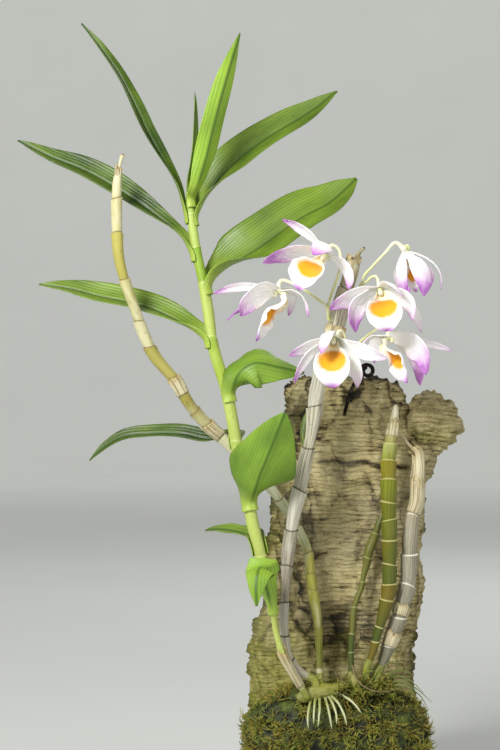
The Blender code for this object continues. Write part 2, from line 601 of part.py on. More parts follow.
def leaves(stem, material):
    """The leafy cane's leaves, from its foot to its tip."""
    leaf(
        "leaf_01_folded", stem, 111,
        (
            (-41.9, -70, 123.5), (-44.2, -77, 133.8), (-46.5, -86, 132.3), (-47.6, -90, 123.7),
            (-47.1, -91, 113.7),
        ),
        17, material, shows=(0.2, 0.9, -0.3), shape=OVATE,
    )
    leaf(
        "leaf_02_low_left", stem, 145,
        ((-49.8, -48, 149.3), (-59.7, -38, 152), (-68.6, -32, 152.8), (-77.5, -27, 151.9)),
        9, material, shows=(0, -0.6, 0.8),
    )
    leaf(
        "leaf_03_broad", stem, 170,
        ((-48, -70, 178), (-45, -76, 187), (-41, -82, 197), (-31.5, -91, 222)),
        39, material, shows=(0.15, 0.8, 0.55),
        shape=((0.3, 1), (0.5, 0.95), (0.75, 0.62), (0.9, 0.33), (1, 0.04)), keel=12, base=1.0,
    )
    leaf(
        "leaf_04_right", stem, 232,
        (
            (-60, -60, 238), (-56.5, -62.5, 244.5), (-48, -63, 249.5), (-36, -61, 247.5),
            (-20, -57, 244.2),
        ),
        29, material, shows=(0.35, 0.8, -0.45), out=(0.8, -1, 0), wrap=150,
        shape=((0.25, 0.95), (0.4, 1), (0.55, 0.85), (0.75, 0.5), (0.9, 0.25), (1, 0.04)), base=0.9,
    )
    leaf(
        "leaf_05_left", stem, 206,
        (
            (-58.5, -43.5, 209.5), (-61, -33, 208.5), (-66.5, -28, 206.5), (-76, -24, 205.5),
            (-92.4, -20, 208.5), (-110.4, -14, 208.3), (-125.4, -11, 206.7), (-136.3, -8, 201.2),
            (-147.2, -6, 192.2),
        ),
        12.5, material, shows=(0, -0.6, 0.8), out=(-0.2, 1, 0), wrap=110,
    )
    leaf(
        "leaf_06_left", stem, 264,
        (
            (-82, -46, 268), (-91.8, -38, 274), (-103.7, -32, 280), (-115.7, -27, 284.3),
            (-139.8, -18, 289.6), (-158, -12, 294.4), (-177, -6, 297.4),
        ),
        20, material, shows=(0, -0.6, 0.8),
    )
    leaf(
        "leaf_07_left", stem, 314,
        (
            (-90.5, -42, 323.8), (-103.6, -34, 335), (-115.6, -28, 344), (-130.7, -22, 354),
            (-148.9, -15, 364.5), (-170.3, -8, 373.6), (-190, -2, 383.8),
        ),
        18, material, shows=(-0.1, -0.6, 0.8), base=0.5,
    )
    leaf(
        "leaf_12_right", stem, 294,
        ((-69, -45.5, 302), (-46, -39, 317), (-20.2, -32, 335.5), (-4, -27, 344.5), (12, -22, 359)),
        35, material, shows=(-0.2, -0.75, 0.65),
        shape=((0.3, 1.05), (0.5, 1), (0.75, 0.85), (0.9, 0.52), (1, 0.05)), base=1.0,
    )
    leaf(
        "leaf_11_right", stem, 334,
        (
            (-76.5, -40, 347), (-65.6, -37, 361.5), (-51, -32, 374.8), (-33.4, -27, 387.1),
            (-15.6, -23, 398.1), (0.4, -20, 410.9),
        ),
        23, material, shows=(-0.3, -0.75, 0.55), out=(1, 0.25, 0), wrap=150, base=1.0,
    )
    leaf(
        "leaf_08_top_left", stem, 336,
        (
            (-92.9, -40, 353), (-101.7, -38, 369), (-111.2, -35, 386.2), (-119.5, -32, 404.1),
            (-127.4, -28, 419.3), (-137.6, -25, 434.4), (-150.2, -22, 450.8),
        ),
        9.5, material, shows=(0.55, -0.65, 0.4), out=(-1, 0.1, 0), wrap=120,
    )
    leaf(
        "leaf_10_top", stem, 345,
        (
            (-82.2, -52, 350.9), (-76.9, -54, 366.8), (-72.6, -57, 383.8), (-68.2, -59, 400.8),
            (-61.6, -61, 423.5), (-57, -62, 438.8),
        ),
        13.5, material, shows=(-0.35, 0.8, 0.3), out=(0.55, -1, 0), wrap=105,
        shape=((0.35, 1), (0.5, 1), (0.7, 0.85), (0.85, 0.55), (1, 0.04)),
    )
    leaf(
        "leaf_09_bud", stem, 347,
        ((-86.2, -37, 362), (-84, -37.5, 380), (-83.1, -38, 407.7)),
        7, material, shows=(0.9, -0.4, 0), out=(0.1, 1, 0), wrap=90, keel=10,
    )


def flower(name, heart, faces, tepals, fork, pedicel, petal_finish):
    """A flower's heart, column, stalk, three sepals and two petals, joined in one piece.

    tepals is a row for each: (tip from the heart, bow of its middle, width). The stalk starts a
    clearance away from the knob at fork.
    """
    heart, faces = Vector(heart), Vector(faces).normalized()
    core = ball(name, heart, Vector((HEART, HEART, HEART)), petal_finish)
    column = [heart + faces * COLUMN_LENGTH * share for share in (0, 0.7, 1)]
    thinning = [COLUMN_RADIUS * part for part in (1.3, 1, 0.8)]
    pieces = [tube("column", column, thinning, petal_finish, 6)]
    start = fork + (Vector(pedicel[0]) - fork).normalized() * (FORK + GAP)
    stalk = through([start, *pedicel, heart], 2)
    swell = [PEDICEL * (1 + 0.5 * k / len(stalk)) for k in range(len(stalk))]
    pieces.append(tube("stalk", stalk, swell, petal_finish, 6))
    for tip, bow, width in tepals:
        tip, bow = Vector(tip), Vector(bow)
        bend = tip / 2 + 2 * bow
        spine = [heart + 2 * t * (1 - t) * bend + t * t * tip for t in (0, 0.25, 0.5, 0.75, 1)]
        widths = [(share, part * width) for share, part in TEPAL_WIDTHS]
        curls = ((0, 70), (0.5, 48), (1, 20))
        pieces.append(blade("tepal", spine, widths, curls, faces, petal_finish, rows=5, cols=4))
    return boolean(core, pieces, "UNION")


def lip(name, heart, faces, tip, finish, open_to=1.0, bulge=1.0, start=LIP_START):
    """A flower's lip: rolled round the column at its root, then open into a rounded scoop."""
    heart, faces, tip = Vector(heart), Vector(faces).normalized(), Vector(tip)
    down = (tip - faces * tip.dot(faces)).normalized()
    root = heart + down * 2.5
    spine = [
        root + faces * start,
        root + faces * (start + 2.5 + 2.5 * bulge) + tip * 0.1,
        heart + faces * 9 * bulge + tip * 0.42,
        heart + faces * 6 * bulge + tip * 0.76,
        heart + tip,
    ]
    widths = [(share, width * open_to if share > 0 else width) for share, width in LIP_WIDTHS]
    return blade(name, spine, widths, LIP_CURLS, -down, finish, rows=7, cols=6)


def flowers(petal_finish, lip_finish):
    """The six flowers, each with its lip as a piece of its own."""
    rows = {
        "front": dict(
            heart=(-2.8, -60, 264.2), faces=(-0.1, -0.85, -0.5), lip_tip=(-1, -12, -28.5),
            fork="low", pedicel=((4, -53.5, 260), (3.5, -56, 265.5), (1, -58, 268.5)),
            tepals=(
                ((-8, -19, -9), (0, -2, 7.5), 9),
                ((-26, -8, -10.5), (0, -1, 1), 8),
                ((30, -12, -12), (0, -3, -1), 10),
                ((-23, -8, -26), (-3, -3, 3), 6),
                ((13, -4, -28.6), (4, -4, 3), 10),
            ),
        ),
        "right": dict(
            heart=(23.6, -58, 292.4), faces=(0.05, -0.85, -0.5), lip_tip=(3.5, -12, -24.5),
            fork="right", pedicel=((16, -53.2, 296.6), (18.8, -55, 299.3), (21.5, -56.5, 299.6)),
            tepals=(
                ((12, -18, -5), (0, -2, 5), 10),
                ((-29, -6, -12), (0, -3, 2), 12),
                ((18, -10, -18.5), (5.5, -3, 3), 12),
                ((-14, -4, -25), (-6, -2, 3), 12),
                ((24, 4, -25), (5, 2, 3), 6),
            ),
        ),
        "upper_left": dict(
            heart=(-6.5, -58, 312), faces=(-0.6, -0.7, -0.4), lip_tip=(-16.5, -11, -20.5),
            fork="left",
            pedicel=(
                (-5, -54.5, 287), (-2.5, -54.5, 294), (1, -54, 306), (0, -54, 315.5), (-4.5, -55.5, 317.5),
            ),
            tepals=(
                ((-26, -2, 20), (1, -2, 2.5), 7),
                ((-37, -6, -5), (0, -2, 4), 13),
                ((-9, -19, -1), (3, -2, 6), 12),
                ((12, -1, -20), (5, -2, 2), 8),
                ((-9, 8, -17), (-2, 4, 0), 9),
            ),
        ),
        "left": dict(
            heart=(-35.4, -53, 291.5), faces=(0.9, -0.3, -0.3), lip_tip=(-12, -11, -29), open_to=0.85, bulge=-0.15,
            fork="left",
            pedicel=((-9, -55, 284.5), (-16, -54, 289.5), (-25, -53, 295), (-33, -52.5, 297.5)),
            tepals=(
                ((18, -2, -15), (5, -2, 5), 10),
                ((-36.5, -9, -2), (0, 0, 3.3), 5),
                ((-21, -13, -15), (-1, -5, 5), 16),
                ((-29, 5, -17), (0, 2, 4), 12),
                ((7, 16, -14), (4, 4, 4), 9),
            ),
        ),
        "lower_right": dict(
            heart=(29.8, -47, 265), faces=(-0.8, -0.5, -0.35), lip_tip=(9.5, -11, -26.5), open_to=0.85, bulge=-0.15,
            fork="low", pedicel=((10, -49.8, 260), (16, -48.8, 265), (22, -48, 269.5), (27, -47, 271.8)),
            tepals=(
                ((-17, -4, -9), (-4, -3, 4), 8),
                ((36.2, 0, -8), (0.3, 0.2, 1.4), 5.2),
                ((20, -12, -22), (4, -5, 6), 17),
                ((18, 6, -28), (6, 4, 3), 12),
                ((-8, 14, -15), (-3, 4, 3), 9),
            ),
        ),
        "hanging": dict(
            heart=(38.7, -48, 315.3), faces=(0.25, 0.05, -0.95), lip_tip=(7, 2, -24), open_to=0.42, start=6,
            fork="right",
            pedicel=((14.8, -49.5, 300), (19, -49.8, 305), (27, -49.5, 313.5), (33, -49, 319.5)),
            tepals=(
                ((0, -5, -27), (-3, -3, 1), 9),
                ((10, -11, -27), (4, -5, 1), 12),
                ((21, 0, -23), (7, 0, 3), 5),
                ((3, 12, -26), (-3, 5, 1), 11),
                ((15, 12, -22), (5, 5, 2), 9),
            ),
        ),
    }
    for label, row in rows.items():
        fork = FORKS[row["fork"]][1]
        flower(
            "flower_" + label, row["heart"], row["faces"], row["tepals"], fork, row["pedicel"],
            petal_finish,
        )
        lip(
            "lip_" + label, row["heart"], row["faces"], row["lip_tip"], lip_finish,
            row.get("open_to", 1.0), row.get("bulge", 1.0), row.get("start", LIP_START),
        )


def flower_stalks(bearer, route, material):
    """The three short stalks on the cane that carry the flowers in pairs, each ending in a knob."""
    for label, (height, end) in FORKS.items():
        centre, along = route.at(route.distance_at(height))
        beside = (end - centre) - along * along.dot(end - centre)
        _, skin, outwards, _ = bearer.closest_point_on_mesh((centre + beside.normalized() * 12) * MM)
        start = skin / MM + outwards * GAP
        line = [start, start + outwards * 1.2, end]
        stalk = tube("flower_stalk_" + label, line, [1.1, 1.1, 1.0], material, 8)
        boolean(stalk, [ball("knob", end, Vector((FORK, FORK, FORK)), material)], "UNION")


def side_shoot(material):
    """The small green shoot on the flowering cane."""
    line = through(((-19.6, -47.8, 202.5), (-19.9, -46.1, 208), (-19.1, -44.8, 214), (-18.5, -44.6, 221)), 2)
    radii = [0.9, 1.7, 2.2, 2.3, 2.0, 1.4, 0.5]
    return tube("side_shoot", line, radii, material)


def main():
    """Builds every piece, from the bark outwards."""
    clear_scene()
    cork = finish_of("cork_bark", (0.31, 0.24, 0.13), 0.9)
    moss_green = finish_of("moss", (0.12, 0.17, 0.02), 0.95)
    steel = finish_of("dark_wire", (0.03, 0.025, 0.02), 0.35, 1.0)
    papery = finish_of("papery_sheath", (0.62, 0.60, 0.50), 0.6)
    yellowing = finish_of("yellowing_cane", (0.55, 0.48, 0.16), 0.5)
    green = finish_of("green_cane", (0.20, 0.26, 0.02), 0.4)
    leafy = finish_of("leafy_cane", (0.35, 0.50, 0.08), 0.45)
    leaf_green = finish_of("leaf", (0.14, 0.33, 0.02), 0.4)
    petal = finish_of("petal", (0.86, 0.82, 0.84), 0.5)
    yellow = finish_of("lip", (0.90, 0.58, 0.05), 0.5)
    root = finish_of("rhizome", (0.30, 0.33, 0.08), 0.6)

    grown = canes(papery, yellowing, green, leafy)
    bark = cork_bark(cork)
    wire = hanger_wire(steel)
    boolean(bark, [swollen(wire, GAP)], "DIFFERENCE")
    below = rhizome(root, grown)
    standing = [bark, below] + [thing for thing, _ in grown.values()]
    moss_cushion(moss_green, standing)
    leaves(grown["leafy_cane"][1], leaf_green)
    flower_stalks(*grown["flowering_cane"], leafy)
    flowers(petal, yellow)
    side_shoot(green)


main()
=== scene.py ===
"""The looks of a dendrobium orchid in flower, grown on a standing slab of cork bark with moss at its foot.

Lengths in the tables are millimetres in the part's own frame: +Z is up, +X is to the right of someone who
faces the flowers, and -Y is towards them. MM turns them to metres where a mesh is made.
"""

import logging
import math
import random
from collections.abc import Callable, Sequence
from dataclasses import dataclass, field
from enum import Enum

import bmesh
import bpy
from mathutils import Matrix, Vector, noise


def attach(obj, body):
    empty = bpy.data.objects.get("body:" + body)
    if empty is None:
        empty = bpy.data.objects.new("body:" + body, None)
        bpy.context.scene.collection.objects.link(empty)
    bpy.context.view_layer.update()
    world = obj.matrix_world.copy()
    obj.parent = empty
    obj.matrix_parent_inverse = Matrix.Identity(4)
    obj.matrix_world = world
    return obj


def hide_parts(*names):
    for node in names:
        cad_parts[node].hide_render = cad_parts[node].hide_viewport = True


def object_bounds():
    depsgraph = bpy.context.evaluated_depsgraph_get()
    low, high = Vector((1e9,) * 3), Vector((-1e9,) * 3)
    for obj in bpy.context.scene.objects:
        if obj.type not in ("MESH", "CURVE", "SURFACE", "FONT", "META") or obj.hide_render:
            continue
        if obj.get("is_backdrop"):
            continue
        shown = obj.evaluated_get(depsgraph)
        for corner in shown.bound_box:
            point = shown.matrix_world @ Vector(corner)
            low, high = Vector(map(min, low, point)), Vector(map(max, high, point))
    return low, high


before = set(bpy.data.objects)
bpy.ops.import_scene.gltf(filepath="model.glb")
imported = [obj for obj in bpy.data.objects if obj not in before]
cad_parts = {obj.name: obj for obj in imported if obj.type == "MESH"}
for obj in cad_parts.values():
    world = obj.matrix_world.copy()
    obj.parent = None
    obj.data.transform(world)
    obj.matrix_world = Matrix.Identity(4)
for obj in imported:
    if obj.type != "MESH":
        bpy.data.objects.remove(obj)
CAD_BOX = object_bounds()
LOG = logging.getLogger("orchid")

MM = 0.001
BODY = "root"
PATTERN = "pattern"      # a place on a piece as if it lay straight and flat, in millimetres
PLACE = "place"          # shares and tones that a finish reads: what each holds is said where it is written
WEAVE = 8                # steps of a smooth curve between two of its given points
WAVE_LENGTH = 2 * math.pi / 20   # millimetres between two bands of a wave texture whose scale is 1

Point = tuple[float, float, float]
Table = tuple[tuple[float, float], ...]
Colour = tuple[float, float, float, float]
Stops = tuple[tuple[float, str], ...]


def linear(colour: str) -> Colour:
    """Turns an sRGB hex colour into linear light.

    Args:
        colour: The colour as "#rrggbb".

    Returns:
        Red, green, blue and an alpha of one, as a shader socket takes them.
    """
    shares = [int(colour[start:start + 2], 16) / 255 for start in (1, 3, 5)]
    red, green, blue = (s / 12.92 if s <= 0.04045 else ((s + 0.055) / 1.055) ** 2.4 for s in shares)
    return red, green, blue, 1.0


def profile(table: Sequence[tuple[float, float]], share: float) -> float:
    """Reads a table of (share, value) along a smooth line through every row.

    Args:
        table: Rows of share and value, the shares rising.
        share: Where to read it.

    Returns:
        The value there.
    """
    for (a, low), (b, high) in zip(table, table[1:]):
        if share <= b:
            break
    index = [row[0] for row in table].index(a)
    before = table[max(index - 1, 0)]
    after = table[min(index + 2, len(table) - 1)]
    slope_in = (high - before[1]) / (b - before[0])
    slope_out = (after[1] - low) / (after[0] - a)
    span, t = b - a, (share - a) / (b - a)
    t2, t3 = t * t, t * t * t
    eased = (2 * t3 - 3 * t2 + 1) * low + (3 * t2 - 2 * t3) * high
    return eased + span * ((t3 - 2 * t2 + t) * slope_in + (t3 - t2) * slope_out)


def ease(value: float, low: float, high: float) -> float:
    """Rises smoothly from nought at low to one at high.

    Args:
        value: Where to read it.
        low: Where the rise starts.
        high: Where it ends, which may be the smaller one.

    Returns:
        A share from nought to one.
    """
    share = min(max((value - low) / (high - low), 0), 1)
    return share * share * (3 - 2 * share)


def through(points: Sequence[Sequence[float]], steps: int = WEAVE) -> list[Vector]:
    """Draws a centripetal Catmull-Rom curve through points.

    Args:
        points: The given points.
        steps: How many steps it takes between two of them.

    Returns:
        The points of the curve.
    """
    given = [Vector(point) for point in points]
    ends = [2 * given[0] - given[1], *given, 2 * given[-1] - given[-2]]
    line = []
    for a, b, c, d in zip(ends, ends[1:], ends[2:], ends[3:]):
        t0 = 0.0
        t1 = t0 + math.sqrt((b - a).length)
        t2 = t1 + math.sqrt((c - b).length)
        t3 = t2 + math.sqrt((d - c).length)
        for step in range(steps):
            t = t1 + (t2 - t1) * step / steps
            ab = a.lerp(b, (t - t0) / (t1 - t0))
            bc = b.lerp(c, (t - t1) / (t2 - t1))
            cd = c.lerp(d, (t - t2) / (t3 - t2))
            abc = ab.lerp(bc, (t - t0) / (t2 - t0))
            bcd = bc.lerp(cd, (t - t1) / (t3 - t1))
            line.append(abc.lerp(bcd, (t - t1) / (t2 - t1)))
    return [*line, given[-1]]


class Route:
    """A smooth line through given points, measured along its length."""

    def __init__(self, points: Sequence[Sequence[float]], steps: int = WEAVE) -> None:
        """Draws the line and marks the distance at each of its points.

        Args:
            points: What the line goes through.
            steps: How many steps it takes between two of them.
        """
        self.line = through(points, steps)
        self.marks = [0.0]
        for a, b in zip(self.line, self.line[1:]):
            self.marks.append(self.marks[-1] + (b - a).length)
        self.length = self.marks[-1]

    def at(self, distance: float) -> tuple[Vector, Vector]:
        """Finds a place on the line.

        Args:
            distance: How far along it is. Past either end, the line goes straight on.

        Returns:
            The place and the line's direction there.
        """
        index = 1
        while self.marks[index] < distance and index < len(self.marks) - 1:
            index += 1
        a, b = self.line[index - 1], self.line[index]
        share = (distance - self.marks[index - 1]) / (self.marks[index] - self.marks[index - 1])
        return a.lerp(b, share), (b - a).normalized()

    def distance_at(self, height: float) -> float:
        """Measures how far along the line it first reaches a height.

        Args:
            height: The height.

        Returns:
            The distance.
        """
        index = next(index for index, place in enumerate(self.line) if place.z >= height)
        a, b = self.line[index - 1], self.line[index]
        before, after = self.marks[index - 1], self.marks[index]
        return before + (after - before) * (height - a.z) / (b.z - a.z)

    def frames(self, face: Vector, distances: Sequence[float]) -> list[tuple[Vector, Vector, Vector]]:
        """Carries a direction along the line without turning it.

        Args:
            face: The direction at the start.
            distances: Where the frames are wanted, rising.

        Returns:
            The place, the line's direction and the carried one, at each distance.
        """
        found = []
        for distance in distances:
            place, direction = self.at(distance)
            face = (face - direction * face.dot(direction)).normalized()
            found.append((place, direction, face))
        return found


def blank_grid(rows: int, columns: int) -> bmesh.types.BMesh:
    """Makes a flat unit grid with the two layers that the finishes read.

    Args:
        rows: Steps along X.
        columns: Steps along Y.

    Returns:
        The grid, from -0.5 to 0.5 both ways.
    """
    shape = bmesh.new()
    shape.verts.layers.float_vector.new(PATTERN)
    shape.verts.layers.float_vector.new(PLACE)
    bmesh.ops.create_grid(shape, x_segments=rows, y_segments=columns, size=0.5)
    return shape


def joined(shapes: Sequence[bmesh.types.BMesh]) -> bmesh.types.BMesh:
    """Puts several shapes in one, each as it is.

    Args:
        shapes: The shapes, which are used up.

    Returns:
        One shape with all of them.
    """
    whole = shapes[0]
    for shape in shapes[1:]:
        carrier = bpy.data.meshes.new("carrier")
        shape.to_mesh(carrier)
        shape.free()
        whole.from_mesh(carrier)
        bpy.data.meshes.remove(carrier)
    return whole


@dataclass(frozen=True)
class Wall:
    """The thickness that a sheet is given, and the finishes of its back and rim."""

    thickness: float
    offset: float = 0.0
    back: int = 0
    rim: int = 0


def settle(
    name: str,
    shape: bmesh.types.BMesh,
    finishes: Sequence[bpy.types.Material],
    slot: str,
    replaces: Sequence[str] = (),
    wall: Wall | None = None,
) -> bpy.types.Object:
    """Turns a finished shape into a piece that rides on the part's one body.

    Args:
        name: The piece's name.
        shape: Its shape, which is used up.
        finishes: Its materials, in the order of the faces' numbers.
        slot: The name of a material slot in the record. It is not used.
        replaces: The solids that it stands for.
        wall: The thickness of a sheet.

    Returns:
        The piece.
    """
    mesh = bpy.data.meshes.new(name)
    shape.to_mesh(mesh)
    shape.free()
    mesh.shade_smooth()
    piece = bpy.data.objects.new(name, mesh)
    bpy.context.scene.collection.objects.link(piece)
    for finish in finishes:
        mesh.materials.append(finish)
    if wall is not None:
        solid = piece.modifiers.new("wall", "SOLIDIFY")
        solid.thickness = wall.thickness * MM
        solid.offset = wall.offset
        solid.material_offset = wall.back
        solid.material_offset_rim = wall.rim
    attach(piece, BODY)
    if replaces:
        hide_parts(*replaces)
    LOG.info("%s: %d faces", name, len(mesh.polygons))
    return piece


class Recipe:
    """The node tree of one material while it is put together."""

    def __init__(self, name: str) -> None:
        """Starts an empty tree.

        Args:
            name: The material's name.
        """
        self.material = bpy.data.materials.new(name)
        self.material.use_nodes = True
        self.tree = self.material.node_tree
        self.tree.nodes.clear()

    def add(
        self,
        kind: str,
        inputs: dict[str | int, object] | None = None,
        out: str | int = 0,
        stops: Stops = (),
        **settings: object,
    ) -> bpy.types.NodeSocket:
        """Adds a node with its settings, values and links.

        Args:
            kind: The node's type.
            inputs: What each input holds: a value, or the socket that it is linked to.
            out: The output that is wanted.
            stops: The colours of a ramp, as (share, hex colour).
            **settings: The node's own properties.

        Returns:
            The wanted output.
        """
        made = self.tree.nodes.new(kind)
        for key, value in settings.items():
            setattr(made, key, value)
        if stops:
            elements = made.color_ramp.elements
            while len(elements) < len(stops):
                elements.new(1.0)
            for element, (share, colour) in zip(elements, stops):
                element.position = share
                element.color = linear(colour)
        for key, value in (inputs or {}).items():
            if isinstance(value, bpy.types.NodeSocket):
                self.tree.links.new(value, made.inputs[key])
            else:
                made.inputs[key].default_value = value
        return made.outputs[out] if made.outputs else made

    def done(self, colour: bpy.types.NodeSocket, **values: object) -> bpy.types.Material:
        """Ends the tree in its one shader.

        Args:
            colour: What the base colour is linked to.
            **values: The shader's other inputs by name, with _ for a space.

        Returns:
            The material.
        """
        inputs = {"Base Color": colour}
        inputs.update({key.replace("_", " "): value for key, value in values.items()})
        shader = self.add("ShaderNodeBsdfPrincipled", inputs)
        self.add("ShaderNodeOutputMaterial", {"Surface": shader})
        return self.material


class Ring(Enum):
    """How a cane looks where one internode ends and the next begins."""

    DARK_GAP = "dark gap under a pale rim"
    PALE_LINE = "pale line on green skin"


@dataclass(frozen=True)
class CaneFinish:
    """The skin or dry sheath of a cane: satin when green, matt and ribbed lengthwise when papery."""

    name: str
    zones: Stops
    streak: str
    patch: str
    ring: Ring
    ring_colour: str
    ring_share: float = 0.85
    streaks: float = 0.5
    patches: float = 0.5
    rough: float = 0.55
    ribs: float = 0.35

    def material(self) -> bpy.types.Material:
        """Builds the material. PLACE holds the distance to the nearest node, the internode's tone and the share along."""
        recipe = Recipe(self.name)
        add = recipe.add
        pattern = add("ShaderNodeAttribute", attribute_name=PATTERN, out="Vector")
        place = add("ShaderNodeAttribute", attribute_name=PLACE, out="Vector")
        reach = add("ShaderNodeSeparateXYZ", {0: place}, out="X")
        tone = add("ShaderNodeSeparateXYZ", {0: place}, out="Y")
        share = add("ShaderNodeSeparateXYZ", {0: place}, out="Z")
        base = add("ShaderNodeValToRGB", {0: share}, stops=self.zones)

        # Ribs of a dry sheath are about 0.6 mm apart. They are drawn at 0.9 mm so that they show.
        drawn = add("ShaderNodeMapping", {"Vector": pattern, "Scale": (1.15, 1.15, 0.035)})
        fibres = add("ShaderNodeTexNoise", {"Vector": drawn, "Scale": 1.0, "Detail": 3.0, "Roughness": 0.6})
        lines = add("ShaderNodeMapRange", {0: fibres, 1: 0.46, 2: 0.58, 3: 0.0, 4: self.streaks})
        streaked = add(
            "ShaderNodeMix", {0: lines, 6: base, 7: linear(self.streak)}, out=2, data_type="RGBA"
        )

        # Stains are 6 to 15 mm across, longer along the cane than round it.
        wide = add("ShaderNodeMapping", {"Vector": pattern, "Scale": (0.16, 0.16, 0.07)})
        cloud = add("ShaderNodeTexNoise", {"Vector": wide, "Scale": 1.0, "Detail": 4.0, "Roughness": 0.55})
        pushed = add("ShaderNodeMath", {0: cloud, 1: tone}, operation="ADD")
        stained = add("ShaderNodeMapRange", {0: pushed, 1: 0.92, 2: 1.25, 3: 0.0, 4: self.patches})
        patched = add(
            "ShaderNodeMix", {0: stained, 6: streaked, 7: linear(self.patch)}, out=2, data_type="RGBA"
        )

        # Small specks where the skin has weathered, about 1.5 mm.
        specks = add("ShaderNodeTexNoise", {"Vector": pattern, "Scale": 0.65, "Detail": 2.0})
        speck = add("ShaderNodeMapRange", {0: specks, 1: 0.66, 2: 0.74, 3: 0.0, 4: 0.45})
        dark = linear("#3a2f1a")
        spotted = add("ShaderNodeMix", {0: speck, 6: patched, 7: dark}, out=2, data_type="RGBA")

        inner, outer = (0.2, 0.7) if self.ring is Ring.DARK_GAP else (0.2, 0.6)
        edge = add("ShaderNodeMapRange", {0: reach, 1: inner, 2: outer, 3: self.ring_share, 4: 0.0})
        ringed = add(
            "ShaderNodeMix", {0: edge, 6: spotted, 7: linear(self.ring_colour)}, out=2, data_type="RGBA"
        )

        height = add("ShaderNodeMath", {0: fibres, 1: cloud}, operation="ADD")
        bump = add("ShaderNodeBump", {"Strength": self.ribs, "Distance": 0.0008, "Height": height})
        gloss = add("ShaderNodeMapRange", {0: cloud, 3: self.rough - 0.1, 4: self.rough + 0.12})
        return recipe.done(ringed, Roughness=gloss, Normal=bump, IOR=1.45)


@dataclass(frozen=True)
class LeafFinish:
    """A living leaf: waxy skin over fine parallel veins, with a creased midrib."""

    name: str
    deep: str
    bright: str
    vein: str
    midrib: str
    foot: str
    rough: float = 0.42
    glow: float = 0.12

    def material(self) -> bpy.types.Material:
        """Builds the material. PLACE holds the share across, the share along and the leaf's tone."""
        recipe = Recipe(self.name)
        add = recipe.add
        pattern = add("ShaderNodeAttribute", attribute_name=PATTERN, out="Vector")
        place = add("ShaderNodeAttribute", attribute_name=PLACE, out="Vector")
        across = add("ShaderNodeSeparateXYZ", {0: pattern}, out="X")
        along = add("ShaderNodeSeparateXYZ", {0: place}, out="Y")
        tone = add("ShaderNodeSeparateXYZ", {0: place}, out="Z")

        # Cloudy tone, 20 mm across, and paler flecks drawn out along the leaf.
        wide = add("ShaderNodeMapping", {"Vector": pattern, "Scale": (0.07, 0.07, 0.028)})
        cloud = add("ShaderNodeTexNoise", {"Vector": wide, "Scale": 1.0, "Detail": 3.0})
        swing = add("ShaderNodeMapRange", {0: cloud, 1: 0.3, 2: 0.7, 3: -0.28, 4: 0.28})
        light = add("ShaderNodeMath", {0: swing, 1: tone}, operation="ADD", use_clamp=True)
        base = add(
            "ShaderNodeMix", {0: light, 6: linear(self.deep), 7: linear(self.bright)}, out=2, data_type="RGBA"
        )

        # Parallel veins are 0.9 mm apart. They are drawn at 1.7 mm so that they show.
        bent = add("ShaderNodeMapping", {"Vector": pattern, "Scale": (1.0, 1.0, 0.05)})
        veins = add(
            "ShaderNodeTexWave",
            {"Vector": bent, "Scale": WAVE_LENGTH / 1.7, "Distortion": 1.6, "Detail": 2.0, "Detail Scale": 0.3},
            wave_type="BANDS", bands_direction="X", out="Fac",
        )
        fine = add("ShaderNodeMapRange", {0: veins, 1: 0.45, 2: 1.0, 3: 0.0, 4: 0.34})
        veined = add("ShaderNodeMix", {0: fine, 6: base, 7: linear(self.vein)}, out=2, data_type="RGBA")

        # The midrib is a darker line, partly its own colour and partly painted shade in its crease.
        aside = add("ShaderNodeMath", {0: across}, operation="ABSOLUTE")
        line = add("ShaderNodeMapRange", {0: aside, 1: 0.2, 2: 0.75, 3: 0.8, 4: 0.0})
        ribbed = add("ShaderNodeMix", {0: line, 6: veined, 7: linear(self.midrib)}, out=2, data_type="RGBA")
        low = add("ShaderNodeMapRange", {0: along, 1: 0.02, 2: 0.2, 3: 0.9, 4: 0.0})
        footed = add("ShaderNodeMix", {0: low, 6: ribbed, 7: linear(self.foot)}, out=2, data_type="RGBA")

        drawn = add("ShaderNodeMapping", {"Vector": pattern, "Scale": (0.5, 0.5, 0.06)})
        ripple = add("ShaderNodeTexNoise", {"Vector": drawn, "Scale": 1.0, "Detail": 3.0})
        sunk = add("ShaderNodeMath", {0: line, 1: -1.2, 2: ripple}, operation="MULTIPLY_ADD")
        height = add("ShaderNodeMath", {0: veins, 1: -0.35, 2: sunk}, operation="MULTIPLY_ADD")
        bump = add("ShaderNodeBump", {"Strength": 0.4, "Distance": 0.0006, "Height": height})
        gloss = add("ShaderNodeMapRange", {0: cloud, 3: self.rough - 0.08, 4: self.rough + 0.12})
        return recipe.done(
            footed, Roughness=gloss, Normal=bump, IOR=1.45, Subsurface_Weight=self.glow,
            Subsurface_Radius=(0.4, 1.0, 0.1), Subsurface_Scale=0.0015,
        )


